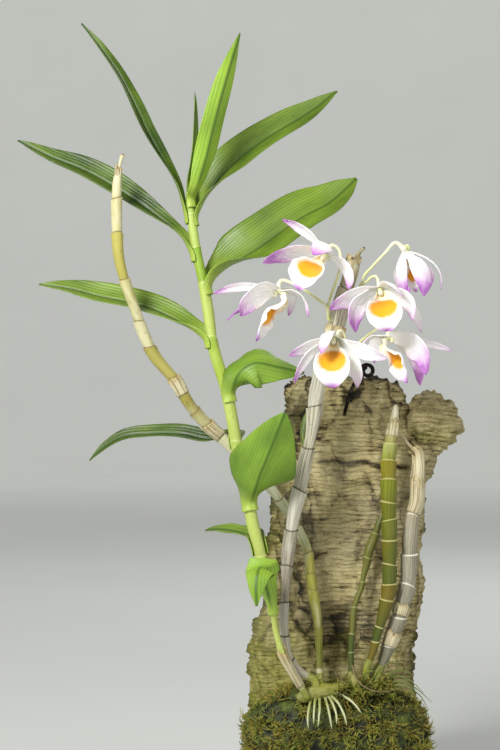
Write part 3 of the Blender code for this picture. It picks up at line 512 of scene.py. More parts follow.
@dataclass(frozen=True)
class PetalFinish:
    """A thin waxy petal: cream at its root, white, and stained mauve towards its tip."""

    name: str
    stops: Stops
    vein: str = "#cfc6c2"
    rough: float = 0.45

    def material(self) -> bpy.types.Material:
        """Builds the material. PLACE holds the share across, the share along and how much mauve it has."""
        recipe = Recipe(self.name)
        add = recipe.add
        pattern = add("ShaderNodeAttribute", attribute_name=PATTERN, out="Vector")
        place = add("ShaderNodeAttribute", attribute_name=PLACE, out="Vector")
        across = add("ShaderNodeSeparateXYZ", {0: place}, out="X")
        along = add("ShaderNodeSeparateXYZ", {0: place}, out="Y")
        tone = add("ShaderNodeSeparateXYZ", {0: place}, out="Z")

        # The stain's edge wanders by 2 or 3 mm, and reaches further back along the petal's rims.
        wander = add("ShaderNodeTexNoise", {"Vector": pattern, "Scale": 0.22, "Detail": 3.0})
        shift = add("ShaderNodeMapRange", {0: wander, 3: -0.16, 4: 0.16})
        rims = add("ShaderNodeMath", {0: across, 1: across}, operation="MULTIPLY")
        back = add("ShaderNodeMath", {0: rims, 1: 0.07, 2: shift}, operation="MULTIPLY_ADD")
        far = add("ShaderNodeMath", {0: along, 1: back}, operation="ADD")
        stain = add("ShaderNodeMath", {0: tone, 1: 0.34, 2: far}, operation="MULTIPLY_ADD")
        toned = add("ShaderNodeMath", {0: stain, 1: -0.17}, operation="ADD")
        base = add("ShaderNodeValToRGB", {0: toned}, stops=self.stops)

        # Veins that part from the root, 1.2 mm from each other.
        bent = add("ShaderNodeMapping", {"Vector": pattern, "Scale": (1.0, 1.0, 0.08)})
        veins = add(
            "ShaderNodeTexWave",
            {"Vector": bent, "Scale": WAVE_LENGTH / 1.4, "Distortion": 1.2, "Detail": 2.0, "Detail Scale": 0.4},
            wave_type="BANDS", bands_direction="X", out="Fac",
        )
        fine = add("ShaderNodeMapRange", {0: veins, 1: 0.5, 2: 1.0, 3: 0.0, 4: 0.22})
        veined = add("ShaderNodeMix", {0: fine, 6: base, 7: linear(self.vein)}, out=2, data_type="RGBA")
        height = add("ShaderNodeMath", {0: veins, 1: -0.5, 2: wander}, operation="MULTIPLY_ADD")
        bump = add("ShaderNodeBump", {"Strength": 0.25, "Distance": 0.0005, "Height": height})
        return recipe.done(
            veined, Roughness=self.rough, Normal=bump, IOR=1.42, Subsurface_Weight=0.35,
            Subsurface_Radius=(1.0, 0.8, 0.7), Subsurface_Scale=0.0018,
        )


@dataclass(frozen=True)
class LipFinish:
    """The velvety face of a lip: white, with a golden disc in its throat and a mauve point."""

    name: str
    ground: Stops
    disc: str = "#f0a905"
    throat: str = "#c77d02"
    disc_at: float = 0.43
    disc_wide: float = 0.86
    disc_long: float = 0.26

    def material(self) -> bpy.types.Material:
        """Builds the material. PLACE holds the share across, the share along and the flower's tone."""
        recipe = Recipe(self.name)
        add = recipe.add
        pattern = add("ShaderNodeAttribute", attribute_name=PATTERN, out="Vector")
        place = add("ShaderNodeAttribute", attribute_name=PLACE, out="Vector")
        across = add("ShaderNodeSeparateXYZ", {0: place}, out="X")
        along = add("ShaderNodeSeparateXYZ", {0: place}, out="Y")
        fuzz = add("ShaderNodeTexNoise", {"Vector": pattern, "Scale": 0.5, "Detail": 3.0})
        shift = add("ShaderNodeMapRange", {0: fuzz, 3: -0.12, 4: 0.12})
        base = add("ShaderNodeValToRGB", {0: along}, stops=self.ground)

        wide = add("ShaderNodeMath", {0: across, 1: self.disc_wide}, operation="DIVIDE")
        down = add("ShaderNodeMath", {0: along, 1: self.disc_at}, operation="SUBTRACT")
        long = add("ShaderNodeMath", {0: down, 1: self.disc_long}, operation="DIVIDE")
        both = add("ShaderNodeCombineXYZ", {0: wide, 1: long})
        off = add("ShaderNodeVectorMath", {0: both}, out="Value", operation="LENGTH")
        rough_off = add("ShaderNodeMath", {0: off, 1: shift}, operation="ADD")
        inside = add("ShaderNodeMapRange", {0: rough_off, 1: 0.82, 2: 1.12, 3: 1.0, 4: 0.0})
        deep = add("ShaderNodeMapRange", {0: along, 1: 0.2, 2: 0.5, 3: 0.8, 4: 0.0})
        gold = add(
            "ShaderNodeMix", {0: deep, 6: linear(self.disc), 7: linear(self.throat)}, out=2, data_type="RGBA"
        )
        whole = add("ShaderNodeMix", {0: inside, 6: base, 7: gold}, out=2, data_type="RGBA")

        # The nap is finer than 0.3 mm. It is drawn at 1 mm so that it shows.
        nap = add("ShaderNodeTexNoise", {"Vector": pattern, "Scale": 1.0, "Detail": 4.0})
        bump = add("ShaderNodeBump", {"Strength": 0.35, "Distance": 0.0005, "Height": nap})
        return recipe.done(
            whole, Roughness=0.6, Normal=bump, IOR=1.42, Subsurface_Weight=0.25,
            Subsurface_Radius=(1.0, 0.7, 0.4), Subsurface_Scale=0.0015,
            Sheen_Weight=0.25, Sheen_Roughness=0.5,
        )


@dataclass(frozen=True)
class StalkFinish:
    """The skin of a thin stalk or root: waxy, with a lengthwise change of colour."""

    name: str
    zones: Stops
    fleck: str
    rough: float = 0.45

    def material(self) -> bpy.types.Material:
        """Builds the material. PLACE holds nothing, a tone and the share along."""
        recipe = Recipe(self.name)
        add = recipe.add
        pattern = add("ShaderNodeAttribute", attribute_name=PATTERN, out="Vector")
        place = add("ShaderNodeAttribute", attribute_name=PLACE, out="Vector")
        tone = add("ShaderNodeSeparateXYZ", {0: place}, out="Y")
        share = add("ShaderNodeSeparateXYZ", {0: place}, out="Z")
        base = add("ShaderNodeValToRGB", {0: share}, stops=self.zones)
        drawn = add("ShaderNodeMapping", {"Vector": pattern, "Scale": (0.9, 0.9, 0.25)})
        flecks = add("ShaderNodeTexNoise", {"Vector": drawn, "Scale": 1.0, "Detail": 4.0})
        pushed = add("ShaderNodeMath", {0: tone, 1: 0.3, 2: flecks}, operation="MULTIPLY_ADD")
        amount = add("ShaderNodeMapRange", {0: pushed, 1: 0.55, 2: 0.85, 3: 0.0, 4: 0.7})
        mixed = add("ShaderNodeMix", {0: amount, 6: base, 7: linear(self.fleck)}, out=2, data_type="RGBA")
        bump = add("ShaderNodeBump", {"Strength": 0.3, "Distance": 0.0006, "Height": flecks})
        return recipe.done(
            mixed, Roughness=self.rough, Normal=bump, IOR=1.45, Subsurface_Weight=0.15,
            Subsurface_Radius=(0.8, 1.0, 0.4), Subsurface_Scale=0.0015,
        )


@dataclass(frozen=True)
class CorkFinish:
    """Weathered cork bark: matt, pale on its ridges and dark in its cracks, partly the bark's own colours and partly
    painted shade, with a green bloom.
    """

    name: str
    depths: Stops
    grey: str
    algae: str
    rough: float = 0.9

    def material(self) -> bpy.types.Material:
        """Builds the material. PLACE holds the height of the relief less a painted shade in the hollow and down the
        slab's left side, how much green grows there and nothing.
        """
        recipe = Recipe(self.name)
        add = recipe.add
        metres = add("ShaderNodeTexCoord", out="Object")
        coords = add("ShaderNodeMapping", {"Vector": metres, "Scale": (1000.0, 1000.0, 1000.0)})
        place = add("ShaderNodeAttribute", attribute_name=PLACE, out="Vector")
        # The relief's height, with a painted shade taken off in the hollow and down the slab's left side.
        relief = add("ShaderNodeSeparateXYZ", {0: place}, out="X")
        green = add("ShaderNodeSeparateXYZ", {0: place}, out="Y")

        # Growth lines of cork lie level, 1 to 2 mm apart.
        level = add("ShaderNodeMapping", {"Vector": coords, "Scale": (0.07, 0.07, 0.62)})
        layers = add("ShaderNodeTexNoise", {"Vector": level, "Scale": 1.0, "Detail": 5.0, "Roughness": 0.62})
        grain = add("ShaderNodeTexNoise", {"Vector": coords, "Scale": 0.55, "Detail": 5.0, "Roughness": 0.7})
        swing = add("ShaderNodeMapRange", {0: layers, 1: 0.3, 2: 0.7, 3: -0.17, 4: 0.17})
        speck = add("ShaderNodeMapRange", {0: grain, 1: 0.3, 2: 0.7, 3: -0.16, 4: 0.16})
        first = add("ShaderNodeMath", {0: relief, 1: swing}, operation="ADD")
        both = add("ShaderNodeMath", {0: first, 1: speck}, operation="ADD")

        # Fine level splits, 2.6 mm apart, which wander and break off.
        bands = add(
            "ShaderNodeTexWave",
            {"Vector": coords, "Scale": WAVE_LENGTH / 2.6, "Distortion": 15.0, "Detail": 4.0, "Detail Scale": 0.3},
            wave_type="BANDS", bands_direction="Z", out="Fac",
        )
        split = add("ShaderNodeMapRange", {0: bands, 1: 0.0, 2: 0.3, 3: -0.3, 4: 0.0})
        kept = add("ShaderNodeMapRange", {0: grain, 1: 0.45, 2: 0.62})
        broken = add("ShaderNodeMath", {0: split, 1: kept}, operation="MULTIPLY")
        second = add("ShaderNodeMath", {0: both, 1: broken}, operation="ADD")
        # The ramp is dark in cracks and splits and pale on ridges, partly the bark's own colours and partly painted
        # shade.
        base = add("ShaderNodeValToRGB", {0: second}, stops=self.depths)

        # Grey weathering in patches 30 mm across.
        wide = add("ShaderNodeTexNoise", {"Vector": coords, "Scale": 0.035, "Detail": 3.0})
        worn = add("ShaderNodeMapRange", {0: wide, 1: 0.45, 2: 0.7, 3: 0.0, 4: 0.4})
        greyed = add("ShaderNodeMix", {0: worn, 6: base, 7: linear(self.grey)}, out=2, data_type="RGBA")

        bloom = add("ShaderNodeTexNoise", {"Vector": coords, "Scale": 0.11, "Detail": 5.0, "Roughness": 0.6})
        pushed = add("ShaderNodeMath", {0: green, 1: bloom}, operation="ADD")
        amount = add("ShaderNodeMapRange", {0: pushed, 1: 0.85, 2: 1.3, 3: 0.0, 4: 0.6})
        mossy = add("ShaderNodeMix", {0: amount, 6: greyed, 7: linear(self.algae)}, out=2, data_type="RGBA")

        rough = add("ShaderNodeMath", {0: layers, 1: 0.8, 2: grain}, operation="MULTIPLY_ADD")
        height = add("ShaderNodeMath", {0: broken, 1: 2.0, 2: rough}, operation="MULTIPLY_ADD")
        bump = add("ShaderNodeBump", {"Strength": 0.9, "Distance": 0.002, "Height": height})
        return recipe.done(mossy, Roughness=self.rough, Normal=bump, IOR=1.45)


@dataclass(frozen=True)
class MossFinish:
    """Living moss: thin leaves that are yellow-green at the tip and dark at the root, partly the moss's own colour and
    partly painted shade deep in the mat.
    """

    name: str
    root: str
    leaf: str
    tip: str
    old: str

    def material(self) -> bpy.types.Material:
        """Builds the material. PLACE holds a strand's own tone, the share along it and nothing."""
        recipe = Recipe(self.name)
        add = recipe.add
        metres = add("ShaderNodeTexCoord", out="Object")
        place = add("ShaderNodeAttribute", attribute_name=PLACE, out="Vector")
        tone = add("ShaderNodeSeparateXYZ", {0: place}, out="X")
        along = add("ShaderNodeSeparateXYZ", {0: place}, out="Y")
        base = add(
            "ShaderNodeValToRGB", {0: along}, stops=((0.0, self.root), (0.4, self.leaf), (1.0, self.tip))
        )
        wide = add("ShaderNodeTexNoise", {"Vector": metres, "Scale": 60.0, "Detail": 3.0})
        pushed = add("ShaderNodeMath", {0: wide, 1: tone}, operation="ADD")
        aged = add("ShaderNodeMapRange", {0: pushed, 1: 0.95, 2: 1.4, 3: 0.0, 4: 0.75})
        mixed = add("ShaderNodeMix", {0: aged, 6: base, 7: linear(self.old)}, out=2, data_type="RGBA")
        # Painted shade: patches about 8 mm across are darkened towards the root colour, standing for the shade in the
        # gaps between tufts.
        shade = add("ShaderNodeTexNoise", {"Vector": metres, "Scale": 130.0, "Detail": 2.0})
        dark = add("ShaderNodeMapRange", {0: shade, 1: 0.35, 2: 0.55, 3: 0.6, 4: 0.0})
        whole = add("ShaderNodeMix", {0: dark, 6: mixed, 7: linear(self.root)}, out=2, data_type="RGBA")
        fine = add("ShaderNodeTexNoise", {"Vector": metres, "Scale": 900.0, "Detail": 2.0})
        bump = add("ShaderNodeBump", {"Strength": 0.4, "Distance": 0.0008, "Height": fine})
        return recipe.done(whole, Roughness=0.7, Normal=bump, IOR=1.45)


@dataclass(frozen=True)
class WireFinish:
    """Varnished iron wire: nearly black, glossy, with dull scuffs."""

    name: str = "varnished_iron_wire"
    colour: str = "#1c1613"
    scuff: str = "#4a3f36"

    def material(self) -> bpy.types.Material:
        """Builds the material. The scuffs are 2 mm long."""
        recipe = Recipe(self.name)
        add = recipe.add
        pattern = add("ShaderNodeAttribute", attribute_name=PATTERN, out="Vector")
        worn = add("ShaderNodeTexNoise", {"Vector": pattern, "Scale": 0.5, "Detail": 4.0})
        amount = add("ShaderNodeMapRange", {0: worn, 1: 0.5, 2: 0.7, 3: 0.0, 4: 0.8})
        mixed = add(
            "ShaderNodeMix", {0: amount, 6: linear(self.colour), 7: linear(self.scuff)}, out=2, data_type="RGBA"
        )
        gloss = add("ShaderNodeMapRange", {0: worn, 3: 0.12, 4: 0.4})
        bump = add("ShaderNodeBump", {"Strength": 0.2, "Distance": 0.0003, "Height": worn})
        return recipe.done(mixed, Roughness=gloss, Normal=bump, Metallic=0.85)


@dataclass(frozen=True)
class FloorFinish:
    """Matt painted board of the studio floor."""

    name: str = "matt_studio_board"
    colour: str = "#c9cac6"
    shade: str = "#c2c3bf"
    glow: float = 0.5
    lit_from: float = 3.6

    def material(self) -> bpy.types.Material:
        """Builds the material. Its clouds are 300 mm across, and it glows faintly far from the middle."""
        recipe = Recipe(self.name)
        add = recipe.add
        metres = add("ShaderNodeTexCoord", out="Object")
        cloud = add("ShaderNodeTexNoise", {"Vector": metres, "Scale": 3.0, "Detail": 2.0})
        mixed = add(
            "ShaderNodeMix", {0: cloud, 6: linear(self.colour), 7: linear(self.shade)}, out=2, data_type="RGBA"
        )
        away = add("ShaderNodeVectorMath", {0: metres}, out="Value", operation="LENGTH")
        glow = add("ShaderNodeMapRange", {0: away, 1: 0.6, 2: self.lit_from, 3: 0.05, 4: self.glow})
        return recipe.done(mixed, Roughness=0.9, Emission_Color=mixed, Emission_Strength=glow)


def tube(
    route: Route,
    distances: Sequence[float],
    radius: Callable[[int, float, float], float],
    mark: Callable[[int, float], Point],
    sides: int = 12,
    lean: Callable[[int, float], float] | None = None,
    ends: bool = True,
) -> bmesh.types.BMesh:
    """Wraps a grid round a route into a bar.

    Args:
        route: The bar's middle line.
        distances: How far along it each row of points is.
        radius: Gives the radius at a row, a distance and an angle round the bar.
        mark: Gives what PLACE holds at a row and an angle.
        sides: Points round the bar.
        lean: Gives how far a point is moved along the bar at a row and an angle.
        ends: True to close both ends with a low dome.

    Returns:
        The bar, with its own middle line as PATTERN's third axis.
    """
    rows = len(distances) - 1
    start = Vector((0.3, -1, 0.2))
    frames = route.frames(start, distances)
    nominal = max(radius(row, distances[row], 0.0) for row in range(rows + 1))
    shape = blank_grid(rows, sides)
    pattern = shape.verts.layers.float_vector[PATTERN]
    place = shape.verts.layers.float_vector[PLACE]
    for vert in shape.verts:
        row = round((vert.co.x + 0.5) * rows)
        column = round((vert.co.y + 0.5) * sides) % sides
        angle = 2 * math.pi * column / sides
        centre, along, side = frames[row]
        other = along.cross(side)
        slip = lean(row, angle) if lean else 0.0
        reach = radius(row, distances[row], angle)
        c, s = math.cos(angle), math.sin(angle)
        vert.co = (centre + along * slip + (side * c + other * s) * reach) * MM
        vert[pattern] = (nominal * c, nominal * s, distances[row] + slip)
        vert[place] = mark(row, angle)
    bmesh.ops.remove_doubles(shape, verts=shape.verts, dist=0.001 * MM)
    if ends:
        bmesh.ops.holes_fill(shape, edges=shape.edges, sides=0)
        caps = [face for face in shape.faces if len(face.verts) > 4]
        bmesh.ops.poke(shape, faces=caps, offset=0.2 * nominal * MM)
    bmesh.ops.recalc_face_normals(shape, faces=shape.faces)
    return shape


def simple_tube(
    points: Sequence[Sequence[float]],
    radii: Sequence[tuple[float, float]],
    rows: int = 24,
    sides: int = 12,
    tone: float = 0.5,
    knobs: float = 0.0,
    seed: float = 0.0,
) -> bmesh.types.BMesh:
    """Makes a bar whose radius follows a table.

    Args:
        points: What its middle line goes through.
        radii: Rows of the share along it and the radius.
        rows: Steps along it.
        sides: Steps round it.
        tone: What PLACE holds in its second number.
        knobs: How uneven its skin is.
        seed: Moves the unevenness.

    Returns:
        The bar.
    """
    route = Route(points)
    distances = [route.length * row / rows for row in range(rows + 1)]

    def radius(row: int, distance: float, angle: float) -> float:
        """Reads the table and adds the unevenness."""
        around = Vector((2 * math.cos(angle), 2 * math.sin(angle), distance / 2.5 + seed))
        return profile(radii, row / rows) + knobs * noise.noise(around)

    return tube(route, distances, radius, lambda row, angle: (0.0, tone, row / rows), sides)


@dataclass(frozen=True)
class Sheet:
    """A leaf, petal or lip: a grid bent along its spine and curled across it."""

    spine: tuple[Point, ...]
    widths: Table
    curls: Table
    face: Point
    rows: int = 40
    columns: int = 18
    keel: float = 0.0
    shows: Point | None = None
    bias: float = 1.0
    crease: float = 0.0
    ripple: float = 0.0
    ripples: float = 3.0
    tone: float = 0.5
    seed: float = 0.0

    def shape(self) -> bmesh.types.BMesh:
        """Bends the grid.

        Returns:
            The sheet, without a thickness.
        """
        route = Route(self.spine)
        shares = [(row / self.rows) ** self.bias for row in range(self.rows + 1)]
        stations = route.frames(Vector(self.face), [route.length * share for share in shares])
        shape = blank_grid(self.rows, self.columns)
        pattern = shape.verts.layers.float_vector[PATTERN]
        place = shape.verts.layers.float_vector[PLACE]
        for vert in shape.verts:
            row, across = round((vert.co.x + 0.5) * self.rows), vert.co.y
            share = shares[row]
            spot, along, inner = stations[row]
            if self.shows is not None:
                shows = Vector(self.shows)
                wanted = (shows - along * shows.dot(along)).normalized()
                turn = math.atan2(inner.cross(wanted).dot(along), inner.dot(wanted))
                inner = Matrix.Rotation(turn * ease(share, 0, 0.4), 3, along) @ inner
            side = inner.cross(along)
            width = profile(self.widths, share)
            bend = math.radians(profile(self.curls, share))
            arc = width / bend
            rise = math.radians(self.keel) * min(share / 0.25, 1)
            offset = side * (arc * math.sin(across * bend))
            offset += inner * (arc * (1 - math.cos(across * bend)) + abs(across) * width * math.sin(rise))
            offset -= inner * (self.crease * math.exp(-((across * width / 0.7) ** 2)) * ease(share, 0.02, 0.15))
            offset += inner * self.wave(share, across)
            vert.co = (spot + offset) * MM
            vert[pattern] = (across * width, 0.0, share * route.length)
            vert[place] = (2 * across, share, self.tone)
        bmesh.ops.recalc_face_normals(shape, faces=shape.faces)
        middle = min(shape.faces, key=lambda f: (f.calc_center_median() - Vector(stations[self.rows // 2][0]) * MM).length)
        if middle.normal.dot(stations[self.rows // 2][2]) < 0 and self.shows is None:
            bmesh.ops.reverse_faces(shape, faces=shape.faces)
        return shape

    def wave(self, share: float, across: float) -> float:
        """Gives how far a rim waves towards the sheet's inner side.

        Args:
            share: The share along the sheet.
            across: The place across it, from -0.5 to 0.5.

        Returns:
            Millimetres.
        """
        if not self.ripple:
            return 0.0
        side = 1 if across > 0 else -1
        turn = 2 * math.pi * self.ripples * share + self.seed + 1.3 * side
        drift = noise.noise(Vector((5 * share, side * 3, self.seed)))
        swell = ease(share, 0.08, 0.3) * (1 - 0.6 * ease(share, 0.8, 1))
        return self.ripple * swell * (2 * abs(across)) ** 2.5 * (0.6 * math.sin(turn) + 0.9 * drift)


LANCE: Table = ((0.5, 1), (0.72, 0.87), (0.9, 0.45), (1, 0.04))
OVATE: Table = ((0.42, 1), (0.62, 0.93), (0.84, 0.5), (1, 0.05))
STEM_GIRTH: Table = (
    (0, 1.9), (0.08, 1.9), (0.16, 1.7), (0.21, 2.4), (0.27, 3.4), (0.45, 3.5), (0.6, 3.4), (0.79, 3.2),
    (0.87, 2.8), (0.95, 2.7), (1, 2.2),
)
CLASP = 5.0              # height of a leaf's foot round the stem
UNFOLDS = 20.0           # length above it over which the leaf opens out
LEAF_GAP = 0.8           # between a leaf's foot and the stem


@dataclass(frozen=True)
class Leaf:
    """A leaf of the leafy cane, whose foot clasps the stem below a height."""

    name: str
    height: float
    guides: tuple[Point, ...]
    width: float
    shows: Point
    out: Point | None = None
    wrap: float = 190.0
    outline: Table = LANCE
    keel: float = 16.0
    base: float = 0.82
    tone: float = 0.5
    ripple: float = 0.5

    def build(self, stem: Route, finishes: Sequence[bpy.types.Material]) -> bpy.types.Object:
        """Makes the leaf on its stem.

        Args:
            stem: The leafy cane's middle line.
            finishes: The finishes of the upper and the lower side.

        Returns:
            The piece.
        """
        foot_at = stem.distance_at(self.height) - CLASP
        centre, along = stem.at(foot_at)
        outwards = Vector(self.out) if self.out else Vector(self.guides[0]) - centre
        outwards = (outwards - along * outwards.dot(along)).normalized()
        reach = profile(STEM_GIRTH, foot_at / stem.length) * 1.03 + LEAF_GAP
        foot = centre + outwards * reach
        spine = (tuple(foot), tuple(foot + along * CLASP), *self.guides)
        length = Route(spine).length
        held, opened = CLASP / length, (CLASP + UNFOLDS) / length
        hug = math.radians(self.wrap) * reach
        widths = [(0, hug), (held, hug), (opened, max(self.base * self.width, 0.7 * hug))]
        widths += [(share, part * self.width) for share, part in self.outline if share > opened]
        between = (held + opened) / 2
        curls = (
            (0, self.wrap), (held, self.wrap), (between, 0.52 * self.wrap), (opened, 52), (0.65, 30), (1, 20),
        )
        sheet = Sheet(
            spine=spine, widths=tuple(widths), curls=curls, face=tuple(-outwards), rows=72, columns=26,
            keel=self.keel, shows=self.shows, bias=1.25, crease=0.35, ripple=self.ripple,
            ripples=2.2, tone=self.tone, seed=self.height,
        )
        wall = Wall(0.5, offset=-1, back=1, rim=0)
        return settle(self.name + "_blade", sheet.shape(), finishes, "leaf", [self.name], wall)


@dataclass
class LeafyShoot:
    """The tall leafy cane's leaves, from its foot to its tip."""

    upper: LeafFinish = LeafFinish(
        name="waxy_leaf_upper_side", deep="#33490a", bright="#8ca836", vein="#2c4a0a", midrib="#223f08",
        foot="#9cb545",
    )
    lower: LeafFinish = LeafFinish(
        name="waxy_leaf_lower_side", deep="#35540a", bright="#97b93a", vein="#45700c", midrib="#2f5208",
        foot="#a3b94a", rough=0.45,
    )
    leaves: tuple[Leaf, ...] = (
        Leaf(
            "leaf_01_folded", 111,
            (
                (-41.9, -70, 123.5), (-44.2, -77, 133.8), (-46.5, -86, 132.3), (-47.6, -90, 123.7),
                (-47.1, -91, 113.7),
            ),
            17, shows=(0.2, 0.9, -0.3), outline=OVATE, tone=0.8,
        ),
        Leaf(
            "leaf_02_low_left", 145,
            ((-49.8, -48, 149.3), (-59.7, -38, 152), (-68.6, -32, 152.8), (-77.5, -27, 151.9)),
            9, shows=(0, -0.6, 0.8), tone=0.5,
        ),
        Leaf(
            "leaf_03_broad", 170,
            ((-48, -70, 178), (-45, -76, 187), (-41, -82, 197), (-31.5, -91, 222)),
            39, shows=(0.15, 0.8, 0.55),
            outline=((0.3, 1), (0.5, 0.95), (0.75, 0.62), (0.9, 0.33), (1, 0.04)), keel=12, base=1.0,
            tone=0.5,
        ),
        Leaf(
            "leaf_04_right", 232,
            (
                (-60, -60, 238), (-56.5, -62.5, 244.5), (-48, -63, 249.5), (-36, -61, 247.5),
                (-20, -57, 244.2),
            ),
            29, shows=(0.35, 0.8, -0.45), out=(0.8, -1, 0), wrap=150,
            outline=((0.25, 0.95), (0.4, 1), (0.55, 0.85), (0.75, 0.5), (0.9, 0.25), (1, 0.04)),
            base=0.9, tone=0.5,
        ),
        Leaf(
            "leaf_05_left", 206,
            (
                (-58.5, -43.5, 209.5), (-61, -33, 208.5), (-66.5, -28, 206.5), (-76, -24, 205.5),
                (-92.4, -20, 208.5), (-110.4, -14, 208.3), (-125.4, -11, 206.7), (-136.3, -8, 201.2),
                (-147.2, -6, 192.2),
            ),
            12.5, shows=(0, -0.6, 0.8), out=(-0.2, 1, 0), wrap=110, tone=0.15,
        ),
        Leaf(
            "leaf_06_left", 264,
            (
                (-82, -46, 268), (-91.8, -38, 274), (-103.7, -32, 280), (-115.7, -27, 284.3),
                (-139.8, -18, 289.6), (-158, -12, 294.4), (-177, -6, 297.4),
            ),
            20, shows=(0, -0.6, 0.8), tone=0.55,
        ),
        Leaf(
            "leaf_07_left", 314,
            (
                (-90.5, -42, 323.8), (-103.6, -34, 335), (-115.6, -28, 344), (-130.7, -22, 354),
                (-148.9, -15, 364.5), (-170.3, -8, 373.6), (-190, -2, 383.8),
            ),
            18, shows=(-0.1, -0.6, 0.8), base=0.5, tone=0.15,
        ),
        Leaf(
            "leaf_12_right", 294,
            (
                (-69, -45.5, 302), (-46, -39, 317), (-20.2, -32, 335.5), (-4, -27, 344.5),
                (12, -22, 359),
            ),
            35, shows=(-0.2, -0.75, 0.65),
            outline=((0.3, 1.05), (0.5, 1), (0.75, 0.85), (0.9, 0.52), (1, 0.05)), base=1.0, tone=0.5,
        ),
        Leaf(
            "leaf_11_right", 334,
            (
                (-76.5, -40, 347), (-65.6, -37, 361.5), (-51, -32, 374.8), (-33.4, -27, 387.1),
                (-15.6, -23, 398.1), (0.4, -20, 410.9),
            ),
            23, shows=(-0.3, -0.75, 0.55), out=(1, 0.25, 0), wrap=150, base=1.0, tone=0.35,
        ),
        Leaf(
            "leaf_08_top_left", 336,
            (
                (-92.9, -40, 353), (-101.7, -38, 369), (-111.2, -35, 386.2), (-119.5, -32, 404.1),
                (-127.4, -28, 419.3), (-137.6, -25, 434.4), (-150.2, -22, 450.8),
            ),
            9.5, shows=(0.55, -0.65, 0.4), out=(-1, 0.1, 0), wrap=120, tone=0.15,
        ),
        Leaf(
            "leaf_10_top", 345,
            (
                (-82.2, -52, 350.9), (-76.9, -54, 366.8), (-72.6, -57, 383.8), (-68.2, -59, 400.8),
                (-61.6, -61, 423.5), (-57, -62, 438.8),
            ),
            13.5, shows=(-0.35, 0.8, 0.3), out=(0.55, -1, 0), wrap=105,
            outline=((0.35, 1), (0.5, 1), (0.7, 0.85), (0.85, 0.55), (1, 0.04)), tone=0.85,
        ),
        Leaf(
            "leaf_09_bud", 347,
            ((-86.2, -37, 362), (-84, -37.5, 380), (-83.1, -38, 407.7)),
            7, shows=(0.9, -0.4, 0), out=(0.1, 1, 0), wrap=90, keel=10, tone=0.6, ripple=0.1,
        ),
    )

    def build(self, stem: Route) -> None:
        """Makes every leaf.

        Args:
            stem: The leafy cane's middle line.
        """
        finishes = [self.upper.material(), self.lower.material()]
        for leaf in self.leaves:
            leaf.build(stem, finishes)


JOINTED: Table = (
    (0, 0.87), (0.02, 0.88), (0.05, 0.9), (0.12, 0.925), (0.25, 0.95), (0.4, 0.975), (0.55, 1.0), (0.7, 1.025),
    (0.82, 1.05), (0.9, 1.075), (0.945, 1.10), (0.965, 1.125), (0.98, 1.12), (0.99, 0.98),
)
SMOOTH: Table = (
    (0, 0.985), (0.015, 0.99), (0.035, 0.985), (0.08, 0.985), (0.2, 0.99), (0.4, 1.0), (0.6, 1.005),
    (0.8, 1.01), (0.9, 1.02), (0.94, 1.035), (0.965, 1.06), (0.98, 1.06), (0.99, 1.01),
)


@dataclass(frozen=True)
class Husk:
    """A torn dry sheath: an open tube round a cane, ragged at its top."""

    start: float
    length: float
    foot: float
    mouth: float
    rag: float
    seed: float = 0.0

    def shape(self, route: Route) -> bmesh.types.BMesh:
        """Makes the sheath on its cane.

        Args:
            route: The cane's middle line.

        Returns:
            The open tube, without a thickness.
        """
        rows, sides = 14, 48
        distances = [self.start + self.length * row / rows for row in range(rows + 1)]

        def lean(row: int, angle: float) -> float:
            """Tears the top: the higher the row, the further its points are moved."""
            around = Vector((1.6 * math.cos(angle), 1.6 * math.sin(angle), self.seed))
            fine = Vector((7 * math.cos(angle), 7 * math.sin(angle), self.seed))
            return (row / rows) ** 2 * self.rag * (noise.noise(around) + 0.6 * noise.noise(fine))

        def radius(row: int, distance: float, angle: float) -> float:
            """Opens from the foot to the mouth, with folds that deepen upwards."""
            share = row / rows
            folds = 0.3 * share * math.sin(5 * angle + self.seed)
            return self.foot + (self.mouth - self.foot) * share + folds

        return tube(
            route, distances, radius, lambda row, angle: (9.0, 0.4, row / rows), sides, lean, ends=False
        )


